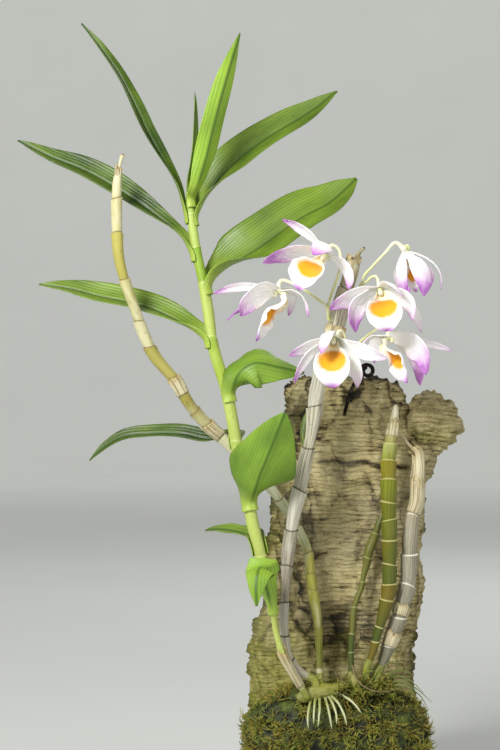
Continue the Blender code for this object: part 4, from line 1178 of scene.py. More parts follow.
@dataclass(frozen=True)
class Cane:
    """A cane: a bar that swells to a rim at the top of each internode."""

    name: str
    slot: str
    line: tuple[Point, ...]
    internodes: tuple[float, ...]
    girth: Table
    finish: CaneFinish
    steps: Table = JOINTED
    lean: float = 0.3
    sides: int = 44
    husks: tuple[Husk, ...] = ()
    husk_finish: CaneFinish | None = None

    def route(self) -> Route:
        """Draws the middle line."""
        return Route(self.line)

    def build(self) -> Route:
        """Makes the cane and its torn sheaths.

        Returns:
            The cane's middle line.
        """
        route = self.route()
        stretch = route.length / sum(self.internodes)
        rows, start = [(-3.0, 0, 0.0, 1.0)], 0.0
        for number, length in enumerate(self.internodes):
            rows += [
                ((start + share * length) * stretch, number, share * length * stretch, swell)
                for share, swell in self.steps
            ]
            start += length
        rows.append((route.length, len(self.internodes) - 1, 0.0, 0.9))
        rows.append((route.length + 0.6, len(self.internodes) - 1, 0.0, 0.5))
        draw = random.Random(self.name)
        tones = [draw.random() for _ in self.internodes]
        tilts = [draw.uniform(0, 2 * math.pi) for _ in range(len(self.internodes) + 1)]

        def radius(row: int, distance: float, angle: float) -> float:
            """Follows the girth, the swelling of each internode and the ribs."""
            girth = profile(self.girth, min(max(distance / route.length, 0), 1))
            around = Vector((3.2 * math.cos(angle), 3.2 * math.sin(angle), distance / 30))
            wide = Vector((1.1 * math.cos(angle), 1.1 * math.sin(angle), distance / 12))
            ribs = self.finish.ribs * 0.25 * noise.noise(around * 1.6)
            return girth * (rows[row][3] + 0.05 * noise.noise(wide)) + ribs

        def lean(row: int, angle: float) -> float:
            """Tilts each rim a little, in turn to one side and the other."""
            distance, number, above, _ = rows[row]
            length = self.internodes[number] * stretch
            low, high = tilts[number], tilts[number + 1]
            share = above / length
            girth = profile(self.girth, min(max(distance / route.length, 0), 1))
            tilt = (1 - share) ** 4 * math.cos(angle - low) + share ** 4 * math.cos(angle - high)
            return self.lean * girth * tilt

        def mark(row: int, angle: float) -> Point:
            """Gives the distance to the nearest node, the internode's tone and the share along."""
            distance, number, above, _ = rows[row]
            length = self.internodes[number] * stretch
            return min(above, length - above), tones[number], min(max(distance / route.length, 0), 1)

        shape = tube(route, [row[0] for row in rows], radius, mark, self.sides, lean)
        settle(self.name + "_skin", shape, [self.finish.material()], self.slot, [self.name])
        if self.husks:
            torn = joined([husk.shape(route) for husk in self.husks])
            finish = (self.husk_finish or self.finish).material()
            settle(self.name + "_torn_sheaths", torn, [finish], self.slot, wall=Wall(0.3, offset=1))
        return route


WHITE_SHEATH = CaneFinish(
    name="dry_white_sheath",
    zones=(
        (0.0, "#8a7346"), (0.07, "#b8ac8c"), (0.18, "#9a8f80"), (0.32, "#a9a08c"), (0.42, "#bdb7a0"),
        (0.8, "#cbc6ac"), (1.0, "#cdbf98"),
    ),
    streak="#6b6650", patch="#e4e1d2", ring=Ring.DARK_GAP, ring_colour="#4b4128", streaks=0.95, patches=0.35,
    rough=0.62, ribs=0.7,
)
GREY_SHEATH = CaneFinish(
    name="dry_grey_sheath",
    zones=((0.0, "#77745a"), (0.15, "#8f8b76"), (0.4, "#98927f"), (0.6, "#a8a08a"), (0.72, "#ad9970"), (1.0, "#c9b48a")),
    streak="#5d5944", patch="#cdc7b2", ring=Ring.DARK_GAP, ring_colour="#e6e1d2", streaks=0.6, patches=0.45,
    rough=0.62, ribs=0.5,
)
YELLOW_SHEATH = CaneFinish(
    name="yellowing_sheath",
    zones=(
        (0.0, "#5c6416"), (0.14, "#7c7d26"), (0.2, "#8c8a34"), (0.24, "#b9bd9a"), (0.34, "#c9cdb0"),
        (0.47, "#c9c6a4"), (0.54, "#8a8034"), (0.6, "#a59c52"), (0.72, "#8f8a35"), (0.86, "#b5ab55"), (0.95, "#cfc48c"), (1.0, "#cbb98a"),
    ),
    streak="#a39a4e", patch="#d9d4b4", ring=Ring.DARK_GAP, ring_colour="#7d6c3a", streaks=0.55, patches=0.6,
    rough=0.55, ribs=0.35,
)
OLIVE_SKIN = CaneFinish(
    name="olive_green_skin",
    zones=((0.0, "#3f4c0c"), (0.3, "#4f560d"), (0.6, "#6a6c11"), (0.78, "#848a1a"), (0.86, "#a9b26a"), (1.0, "#efe9cf")),
    streak="#37420a", patch="#7f6412", ring=Ring.PALE_LINE, ring_colour="#c4bd80", ring_share=0.7, streaks=0.4, patches=0.5,
    rough=0.4, ribs=0.15,
)
THIN_SKIN = CaneFinish(
    name="dull_green_skin",
    zones=((0.0, "#48571a"), (0.5, "#505a1a"), (1.0, "#5c5f22")),
    streak="#333d10", patch="#77702c", ring=Ring.PALE_LINE, ring_colour="#a9a873", ring_share=0.5, streaks=0.5, patches=0.45,
    rough=0.48, ribs=0.2,
)
LEAFY_SKIN = CaneFinish(
    name="pale_green_skin",
    zones=((0.0, "#cfc9a8"), (0.05, "#a4ab3c"), (0.3, "#8a9a24"), (0.6, "#9ab03a"), (0.85, "#8fae38"), (1.0, "#88ae38")),
    streak="#71861f", patch="#c0cb74", ring=Ring.PALE_LINE, ring_colour="#c6cf86", ring_share=0.45, streaks=0.35, patches=0.55,
    rough=0.42, ribs=0.15,
)
PAPER_TEAR = CaneFinish(
    name="torn_paper_sheath",
    zones=((0.0, "#c0b592"), (0.6, "#d0c6a4"), (1.0, "#bba877")),
    streak="#76663f", patch="#d9d0b0", ring=Ring.DARK_GAP, ring_colour="#6f6040", streaks=0.7, patches=0.5,
    rough=0.7, ribs=0.5,
)


@dataclass
class Canes:
    """The plant's six canes."""

    flowering: Cane = Cane(
        name="flowering_cane", slot="papery_cane",
        line=(
            (-16.9, -50, 68.3), (-22.7, -51, 72.1), (-27.1, -52, 78), (-30, -53, 84.5),
            (-31.1, -53, 92), (-31.6, -53, 101.8), (-31.1, -53, 111.6), (-30.3, -52, 120.7),
            (-29.7, -52, 131.1), (-28.9, -51, 140.8), (-27.3, -51, 151.8), (-25, -51, 165.1),
            (-22.1, -51, 177.8), (-19.7, -51, 191), (-16.8, -51, 202.6), (-14.6, -51, 215.9),
            (-13.2, -50, 228.6), (-10.8, -50, 241.3), (-7.1, -49, 252.8), (-3, -48, 263.8),
            (-0.3, -47.5, 273.7), (1.7, -47, 283.5), (4.6, -46, 292.8), (7.3, -45, 302.2),
            (9.1, -44, 310.3), (15.3, -42, 316.8),
        ),
        internodes=(15, 15.5, 18.5, 21, 22, 23.5, 25, 24, 22, 25.5, 23, 18.5, 9.5),
        girth=(
            (0, 2.3), (0.09, 2.7), (0.15, 2.8), (0.2, 2.3), (0.24, 2.7), (0.28, 3.9), (0.33, 4.0),
            (0.37, 3.8), (0.42, 4.3), (0.465, 4.3), (0.51, 3.9), (0.555, 3.4), (0.6, 4.2), (0.645, 4.6),
            (0.69, 4.2), (0.78, 5.1), (0.83, 5.4), (0.875, 4.8), (0.9, 4.1), (0.93, 4.0), (0.955, 4.1),
            (0.965, 1.6), (1, 0.8),
        ),
        finish=WHITE_SHEATH,
        husks=(Husk(236, 17, 4.3, 4.4, 6.0, 2.0), Husk(203, 9, 5.5, 5.9, 1.5, 5.0)),
        husk_finish=PAPER_TEAR,
    )
    leafy: Cane = Cane(
        name="leafy_cane", slot="leafy_cane",
        line=(
            (-20.5, -57, 61.8), (-24, -59, 68), (-28.1, -61, 75.1), (-31.5, -62.5, 81.6),
            (-34.1, -63, 88.6), (-36.4, -63, 97.1), (-37.8, -63, 107.4), (-41, -62.5, 122.8),
            (-44.3, -61.5, 137.1), (-47, -60.5, 148.4), (-49.9, -59.5, 159.8), (-51.9, -58.5, 171.3),
            (-54.2, -57.5, 182.7), (-56.7, -56.5, 194.1), (-59.1, -55.5, 205.6), (-61.2, -54.5, 217.1),
            (-63.4, -53.5, 228.6), (-66, -52.5, 239), (-70, -51.5, 251.1), (-73.1, -50.5, 263.2),
            (-74.4, -49.5, 274.8), (-76.2, -48.5, 286.4), (-78.3, -47.5, 298), (-81, -46.5, 309.6),
            (-83.1, -45.5, 321.3), (-84.7, -44.5, 331.8), (-85.6, -43.5, 340.6), (-85.9, -43, 349.5),
        ),
        internodes=(23, 26, 33, 31, 35, 29, 32, 31.5, 20.5, 20, 12.5),
        girth=STEM_GIRTH, finish=LEAFY_SKIN, steps=SMOOTH, lean=0.2,
        husks=(Husk(3, 24, 2.2, 2.8, 8.0, 1.0),), husk_finish=PAPER_TEAR,
    )
    bare: Cane = Cane(
        name="bare_cane", slot="yellowing_cane",
        line=(
            (-10.4, -44, 68.5), (-10.8, -42, 80.2), (-11.1, -41.5, 91.8), (-12.1, -41, 103.4),
            (-13.7, -40, 113.7), (-15.5, -39, 124.7), (-16.4, -38, 134), (-18, -37, 142.6),
            (-22.4, -36, 151.9), (-27.9, -36, 161.8), (-33.8, -37, 170.6), (-42.3, -39, 181.2),
            (-51, -41, 190.3), (-60, -43, 199.1), (-66.1, -44, 205.6), (-72.5, -44.5, 211.4),
            (-78.8, -45, 217.2), (-84, -45.5, 223.3), (-88.4, -46, 229.7), (-94.2, -46, 239.5),
            (-100.6, -46, 247.1), (-106.3, -46, 254), (-110.7, -46, 262.1), (-114.2, -46, 270.8),
            (-117.1, -46, 279.5), (-120.5, -46, 288.8), (-124.3, -45.5, 299.8), (-127, -45, 310.9),
            (-128, -44.5, 322.5), (-128.4, -44, 335.9), (-128.4, -44, 347.5), (-127.9, -43.5, 357.4),
            (-127.2, -43, 363.2), (-125.1, -42, 370.9),
        ),
        internodes=(4, 23, 22.5, 9, 12.5, 17.5, 19, 19, 19, 23, 10.5, 22.5, 23, 15.5, 26.5, 26.5, 20.5, 17.5, 8),
        girth=(
            (0, 1.95), (0.05, 2.1), (0.09, 2.6), (0.13, 3.0), (0.22, 2.9), (0.27, 2.8), (0.36, 3.2),
            (0.46, 3.6), (0.53, 3.5), (0.6, 3.4), (0.68, 3.5), (0.72, 3.2), (0.8, 3.1), (0.88, 3.2),
            (0.93, 3.0), (0.96, 2.3), (0.975, 1.0), (1, 1.2),
        ),
        finish=YELLOW_SHEATH,
        husks=(Husk(325, 7, 1.9, 1.6, 3.0, 3.0), Husk(191, 11, 3.6, 3.9, 3.0, 8.0), Husk(158, 11, 3.7, 4.0, 3.0, 6.0)),
        husk_finish=PAPER_TEAR,
    )
    green: Cane = Cane(
        name="green_cane", slot="green_cane",
        line=(
            (18.1, -44, 76.4), (20.7, -44, 83.4), (23.2, -43.5, 93.2), (25.7, -43, 101.8),
            (28.1, -42.5, 110.5), (29.7, -42, 119.2), (30.2, -41, 132.5), (30.3, -41, 147),
            (30.1, -40, 158.6), (29.7, -40, 170.2), (29.9, -40, 181.9), (29.7, -39.5, 192.3),
            (30.7, -39, 202.2), (32.1, -38, 210.9), (33.2, -37.5, 217.9), (34.1, -37, 224.9),
        ),
        internodes=(12.5, 9, 16.5, 9, 11.5, 14.5, 11.5, 10.5, 13, 11, 10.5, 10.5, 11.5),
        girth=(
            (0, 1.9), (0.05, 2.2), (0.12, 2.6), (0.18, 3.2), (0.24, 4.0), (0.3, 4.3), (0.4, 4.2),
            (0.5, 4.6), (0.57, 4.4), (0.65, 4.8), (0.72, 4.6), (0.79, 4.4), (0.85, 3.9), (0.91, 3.3),
            (0.955, 2.6), (1, 1.3),
        ),
        finish=OLIVE_SKIN, lean=0.2,
        husks=(Husk(133, 9, 3.6, 2.9, 3.0, 4.0),),
        husk_finish=PAPER_TEAR,
    )
    thin: Cane = Cane(
        name="thin_cane", slot="green_cane",
        line=(
            (7.7, -40, 68.9), (7.9, -38, 82.6), (8.8, -37, 95.4), (9.4, -36, 104.6), (11.2, -35, 111.5),
            (13.9, -34, 117.8), (15.3, -33, 124.8), (17.2, -32, 131.7), (18.6, -32, 139.3),
            (21.4, -31, 146.3), (23.4, -31, 152.7), (26.4, -31, 160.9),
        ),
        internodes=(13, 11, 16, 16, 15, 15, 12),
        girth=(
            (0, 1.6), (0.35, 1.8), (0.5, 1.6), (0.62, 1.7), (0.7, 2.4), (0.76, 2.8), (0.87, 2.5),
            (0.94, 2.1), (1, 1.1),
        ),
        finish=THIN_SKIN, lean=0.2, sides=32,
    )
    dry: Cane = Cane(
        name="dry_cane", slot="papery_cane",
        line=(
            (24.8, -38, 72.1), (27.5, -37.5, 77.9), (30.1, -37, 85.4), (33.1, -36.5, 93.6),
            (36.3, -36, 102.8), (39, -35, 112.1), (41.1, -34.5, 120.2), (41.9, -34, 130.1),
            (42.3, -33, 140.6), (42.9, -32.5, 149.3), (43.9, -32, 159.2), (46.6, -31, 168),
            (47.2, -31, 181.4), (47.8, -31, 192), (46.9, -31, 197.9), (42.8, -31, 201.4),
            (38.7, -31, 206.7),
        ),
        internodes=(14.5, 18, 19, 19, 22.5, 20, 18, 13),
        girth=(
            (0, 2.6), (0.045, 3.1), (0.1, 3.8), (0.16, 4.2), (0.23, 4.4), (0.3, 4.6), (0.39, 4.8),
            (0.48, 4.7), (0.55, 4.6), (0.62, 4.1), (0.69, 4.1), (0.78, 4.0), (0.84, 2.8), (0.88, 1.2),
            (1, 0.7),
        ),
        finish=GREY_SHEATH,
        husks=(
            Husk(14, 8, 4.1, 4.7, 3.0, 1.5), Husk(33, 6, 4.6, 5.2, 2.0, 2.5),
            Husk(93, 22, 4.3, 4.2, 6.0, 7.5), Husk(112, 19, 4.1, 3.1, 9.0, 9.5),
        ),
        husk_finish=PAPER_TEAR,
    )

    def build(self) -> dict[str, Route]:
        """Makes the canes.

        Returns:
            The middle line of each, by the cane's name.
        """
        every = (self.flowering, self.leafy, self.bare, self.green, self.thin, self.dry)
        return {cane.name: cane.build() for cane in every}


TEPAL_WIDTHS: Table = ((0, 0.34), (0.15, 0.52), (0.5, 1), (0.72, 0.93), (0.9, 0.5), (1, 0.05))
LIP_WIDTHS: Table = ((0, 8.5), (0.22, 13), (0.42, 21), (0.58, 24), (0.74, 21), (0.88, 11), (1, 1.2))
LIP_CURLS: Table = ((0, 215), (0.22, 185), (0.45, 125), (0.7, 100), (1, 60))
FORKS: dict[str, tuple[float, Point]] = {
    "left": (273.5, (-6.1, -54, 282.7)),
    "right": (290.5, (13.7, -50, 295.6)),
    "low": (255, (5.2, -50.2, 257.2)),
}


@dataclass(frozen=True)
class Tepal:
    """A sepal or petal: its tip from the flower's heart, the bow of its middle, its width and its stain."""

    tip: Point
    bow: Point
    width: float
    mauve: float = 0.5

    def shape(self, heart: Vector, faces: Vector, seed: float) -> bmesh.types.BMesh:
        """Makes the sheet.

        Args:
            heart: The flower's heart.
            faces: Where the flower looks.
            seed: Moves the wave of its rim.

        Returns:
            The sheet, without a thickness.
        """
        tip, bow = Vector(self.tip), Vector(self.bow)
        bend = tip / 2 + 2 * bow
        spine = tuple(
            tuple(heart + 2 * t * (1 - t) * bend + t * t * tip) for t in (0, 0.25, 0.5, 0.75, 1)
        )
        widths = tuple((share, part * self.width) for share, part in TEPAL_WIDTHS)
        return Sheet(
            spine=spine, widths=widths, curls=((0, 70), (0.5, 48), (1, 20)), face=tuple(faces), rows=30,
            columns=14, crease=0.2, ripple=0.07 * self.width, ripples=1.6, tone=self.mauve, seed=seed,
        ).shape()


@dataclass(frozen=True)
class Flower:
    """A flower: stalk, ovary, column, three sepals, two petals and the lip."""

    label: str
    heart: Point
    faces: Point
    lip_tip: Point
    fork: str
    pedicel: tuple[Point, ...]
    tepals: tuple[Tepal, ...]
    open_to: float = 1.0
    bulge: float = 1.0
    start: float = 3.2

    def build(
        self,
        petals: Sequence[bpy.types.Material],
        lips: Sequence[bpy.types.Material],
        stalk: bpy.types.Material,
    ) -> None:
        """Makes the flower's pieces.

        Args:
            petals: The finishes of the petals' inner and outer side.
            lips: The finishes of the lip's inner and outer side.
            stalk: The stalk's finish.
        """
        heart, faces = Vector(self.heart), Vector(self.faces).normalized()
        sheets = [tepal.shape(heart, faces, 2.0 * n) for n, tepal in enumerate(self.tepals)]
        wall = Wall(0.45, back=1, rim=0)
        settle(
            f"flower_{self.label}_petals", joined(sheets), petals, "petal", ["flower_" + self.label], wall
        )
        self.stalk_and_column(heart, faces, stalk)
        self.lip(heart, faces, lips)

    def stalk_and_column(self, heart: Vector, faces: Vector, finish: bpy.types.Material) -> None:
        """Makes the stalk, the ovary, the chin behind the lip and the column in one piece.

        Args:
            heart: The flower's heart.
            faces: Where it looks.
            finish: The finish of all of them.
        """
        knob = Vector(FORKS[self.fork][1])
        first = Vector(self.pedicel[0])
        start = knob + (first - knob).normalized() * 0.9
        stalk = simple_tube(
            [start, *self.pedicel, heart], ((0, 0.8), (0.6, 0.85), (0.85, 1.2), (1, 1.9)), rows=40, tone=0.3
        )
        down = Vector(self.lip_tip)
        down = (down - faces * down.dot(faces)).normalized()
        column = simple_tube(
            [heart - faces * 0.8, heart + faces * 3, heart + faces * 6.2 + down * 0.4],
            ((0, 1.9), (0.5, 1.35), (0.8, 1.5), (1, 0.7)), rows=14, tone=0.1,
        )
        chin = simple_tube(
            [heart - faces * 1.2 - down * 0.5, heart + down * 2 - faces * 1.0, heart + down * 4.2 + faces * 0.8],
            ((0, 1.6), (0.5, 2.2), (0.85, 1.5), (1, 0.5)), rows=14, tone=0.2,
        )
        settle(f"flower_{self.label}_stalk", joined([stalk, column, chin]), [finish], "petal")

    def lip(self, heart: Vector, faces: Vector, finishes: Sequence[bpy.types.Material]) -> None:
        """Makes the lip: rolled round the column at its root, then open into a rounded scoop.

        Args:
            heart: The flower's heart.
            faces: Where it looks.
            finishes: The finishes of the inner and the outer side.
        """
        tip = Vector(self.lip_tip)
        down = (tip - faces * tip.dot(faces)).normalized()
        root = heart + down * 2.5
        spine = (
            tuple(root + faces * self.start),
            tuple(root + faces * (self.start + 2.5 + 2.5 * self.bulge) + tip * 0.1),
            tuple(heart + faces * 9 * self.bulge + tip * 0.42),
            tuple(heart + faces * 6 * self.bulge + tip * 0.76),
            tuple(heart + tip),
        )
        widths = tuple((share, width * self.open_to if share > 0 else width) for share, width in LIP_WIDTHS)
        sheet = Sheet(
            spine=spine, widths=widths, curls=LIP_CURLS, face=tuple(-down), rows=44, columns=34,
            ripple=0.9, ripples=4.5, seed=heart.x,
        )
        wall = Wall(0.45, back=1, rim=1)
        settle(f"lip_{self.label}_scoop", sheet.shape(), finishes, "lip", ["lip_" + self.label], wall)


@dataclass
class Spray:
    """The six flowers and the short shared stalks that carry them."""

    inner: PetalFinish = PetalFinish(
        "petal_inner_side",
        ((0.0, "#e6e6c8"), (0.14, "#f6f3ee"), (0.6, "#fbf8f8"), (0.8, "#efd9ee"), (0.94, "#cd98d4"), (1.0, "#b26cc0")),
    )
    outer: PetalFinish = PetalFinish(
        "petal_outer_side",
        ((0.0, "#dfe2b8"), (0.16, "#f1efe4"), (0.6, "#f8f5f6"), (0.8, "#ecd3ea"), (0.94, "#ca92d1"), (1.0, "#b26cc0")),
    )
    lip_inner: LipFinish = LipFinish(
        "lip_velvet_inner_side", ((0.0, "#f0dca0"), (0.3, "#faf7f2"), (0.84, "#fbf7f9"), (0.93, "#d39bdb"), (1.0, "#9a3fae")),
    )
    lip_outer: LipFinish = LipFinish(
        "lip_velvet_outer_side", ((0.0, "#e9e6c4"), (0.3, "#f7f3ee"), (0.84, "#f8f4f6"), (0.93, "#cf95d8"), (1.0, "#9a3fae")),
        disc="#f4d27a", throat="#ecc560", disc_wide=0.6, disc_long=0.2,
    )
    stalk: StalkFinish = StalkFinish(
        "cream_green_stalk", ((0.0, "#c6cc7e"), (0.5, "#dcdca8"), (0.9, "#ebe9cc"), (1.0, "#f3efdf")), "#f4f2e0",
    )
    knobs: StalkFinish = StalkFinish(
        "green_shared_stalk", ((0.0, "#a6b45c"), (0.6, "#c9cf86"), (1.0, "#d9dba2")), "#efe9c8",
    )
    flowers: tuple[Flower, ...] = (
        Flower(
            "front", (-2.8, -60, 264.2), (-0.1, -0.85, -0.5), (-1, -12, -28.5), "low",
            ((4, -53.5, 260), (3.5, -56, 265.5), (1, -58, 268.5)),
            (
                Tepal((-8, -19, -9), (0, -2, 7.5), 9, 0.45),
                Tepal((-26, -8, -10.5), (0, -1, 1), 8, 0.5),
                Tepal((30, -12, -12), (0, -3, -1), 10, 0.1),
                Tepal((-23, -8, -26), (-3, -3, 3), 6, 0.6),
                Tepal((13, -4, -28.6), (4, -4, 3), 10, 0.2),
            ),
        ),
        Flower(
            "right", (23.6, -58, 292.4), (0.05, -0.85, -0.5), (3.5, -12, -24.5), "right",
            ((16, -53.2, 296.6), (18.8, -55, 299.3), (21.5, -56.5, 299.6)),
            (
                Tepal((12, -18, -5), (0, -2, 5), 10, 0.15),
                Tepal((-29, -6, -12), (0, -3, 2), 12, 0.6),
                Tepal((18, -10, -18.5), (5.5, -3, 3), 12, 0.3),
                Tepal((-14, -4, -25), (-6, -2, 3), 12, 0.9),
                Tepal((24, 4, -25), (5, 2, 3), 6, 0.1),
            ),
        ),
        Flower(
            "upper_left", (-6.5, -58, 312), (-0.6, -0.7, -0.4), (-16.5, -11, -20.5), "left",
            ((-5, -54.5, 287), (-2.5, -54.5, 294), (1, -54, 306), (0, -54, 315.5), (-4.5, -55.5, 317.5)),
            (
                Tepal((-26, -2, 20), (1, -2, 2.5), 7, 0.6),
                Tepal((-37, -6, -5), (0, -2, 4), 13, 1.0),
                Tepal((-9, -19, -1), (3, -2, 6), 12, 0.6),
                Tepal((12, -1, -20), (5, -2, 2), 8, 0.5),
                Tepal((-9, 8, -17), (-2, 4, 0), 9, 0.3),
            ),
        ),
        Flower(
            "left", (-35.4, -53, 291.5), (0.9, -0.3, -0.3), (-12, -11, -29), "left",
            ((-9, -55, 284.5), (-16, -54, 289.5), (-25, -53, 295), (-33, -52.5, 297.5)),
            (
                Tepal((18, -2, -15), (5, -2, 5), 10, 0.4),
                Tepal((-36.5, -9, -2), (0, 0, 3.3), 5, 0.6),
                Tepal((-21, -13, -15), (-1, -5, 5), 16, 0.6),
                Tepal((-29, 5, -17), (0, 2, 4), 12, 1.0),
                Tepal((7, 16, -14), (4, 4, 4), 9, 0.4),
            ),
            open_to=0.85, bulge=-0.15,
        ),
        Flower(
            "lower_right", (29.8, -47, 265), (-0.8, -0.5, -0.35), (9.5, -11, -26.5), "low",
            ((10, -49.8, 260), (16, -48.8, 265), (22, -48, 269.5), (27, -47, 271.8)),
            (
                Tepal((-17, -4, -9), (-4, -3, 4), 8, 0.5),
                Tepal((36.2, 0, -8), (0.3, 0.2, 1.4), 5.2, 0.2),
                Tepal((20, -12, -22), (4, -5, 6), 17, 0.85),
                Tepal((18, 6, -28), (6, 4, 3), 12, 1.0),
                Tepal((-8, 14, -15), (-3, 4, 3), 9, 0.5),
            ),
            open_to=0.85, bulge=-0.15,
        ),
        Flower(
            "hanging", (38.7, -48, 315.3), (0.25, 0.05, -0.95), (7, 2, -24), "right",
            ((14.8, -49.5, 300), (19, -49.8, 305), (27, -49.5, 313.5), (33, -49, 319.5)),
            (
                Tepal((0, -5, -27), (-3, -3, 1), 9, 0.9),
                Tepal((10, -11, -27), (4, -5, 1), 12, 0.9),
                Tepal((21, 0, -23), (7, 0, 3), 5, 0.4),
                Tepal((3, 12, -26), (-3, 5, 1), 11, 0.7),
                Tepal((15, 12, -22), (5, 5, 2), 9, 0.6),
            ),
            open_to=0.42, start=6,
        ),
    )

    def build(self, cane: Route) -> None:
        """Makes the shared stalks and the flowers.

        Args:
            cane: The flowering cane's middle line.
        """
        knobs = self.knobs.material()
        for label, (height, end) in FORKS.items():
            centre, along = cane.at(cane.distance_at(height))
            beside = (Vector(end) - centre) - along * along.dot(Vector(end) - centre)
            start = centre + beside.normalized() * 3.5
            out = beside.normalized() * 3.5
            shape = simple_tube(
                [start, start + out, end, Vector(end) + (Vector(end) - start - out).normalized() * 0.6],
                ((0, 1.5), (0.3, 1.1), (0.7, 1.0), (0.9, 1.35), (1, 0.9)), rows=24,
            )
            settle("shared_stalk_" + label, shape, [knobs], "leafy_cane", ["flower_stalk_" + label])
        petals = [self.inner.material(), self.outer.material()]
        lips = [self.lip_inner.material(), self.lip_outer.material()]
        stalk = self.stalk.material()
        for flower in self.flowers:
            flower.build(petals, lips, stalk)


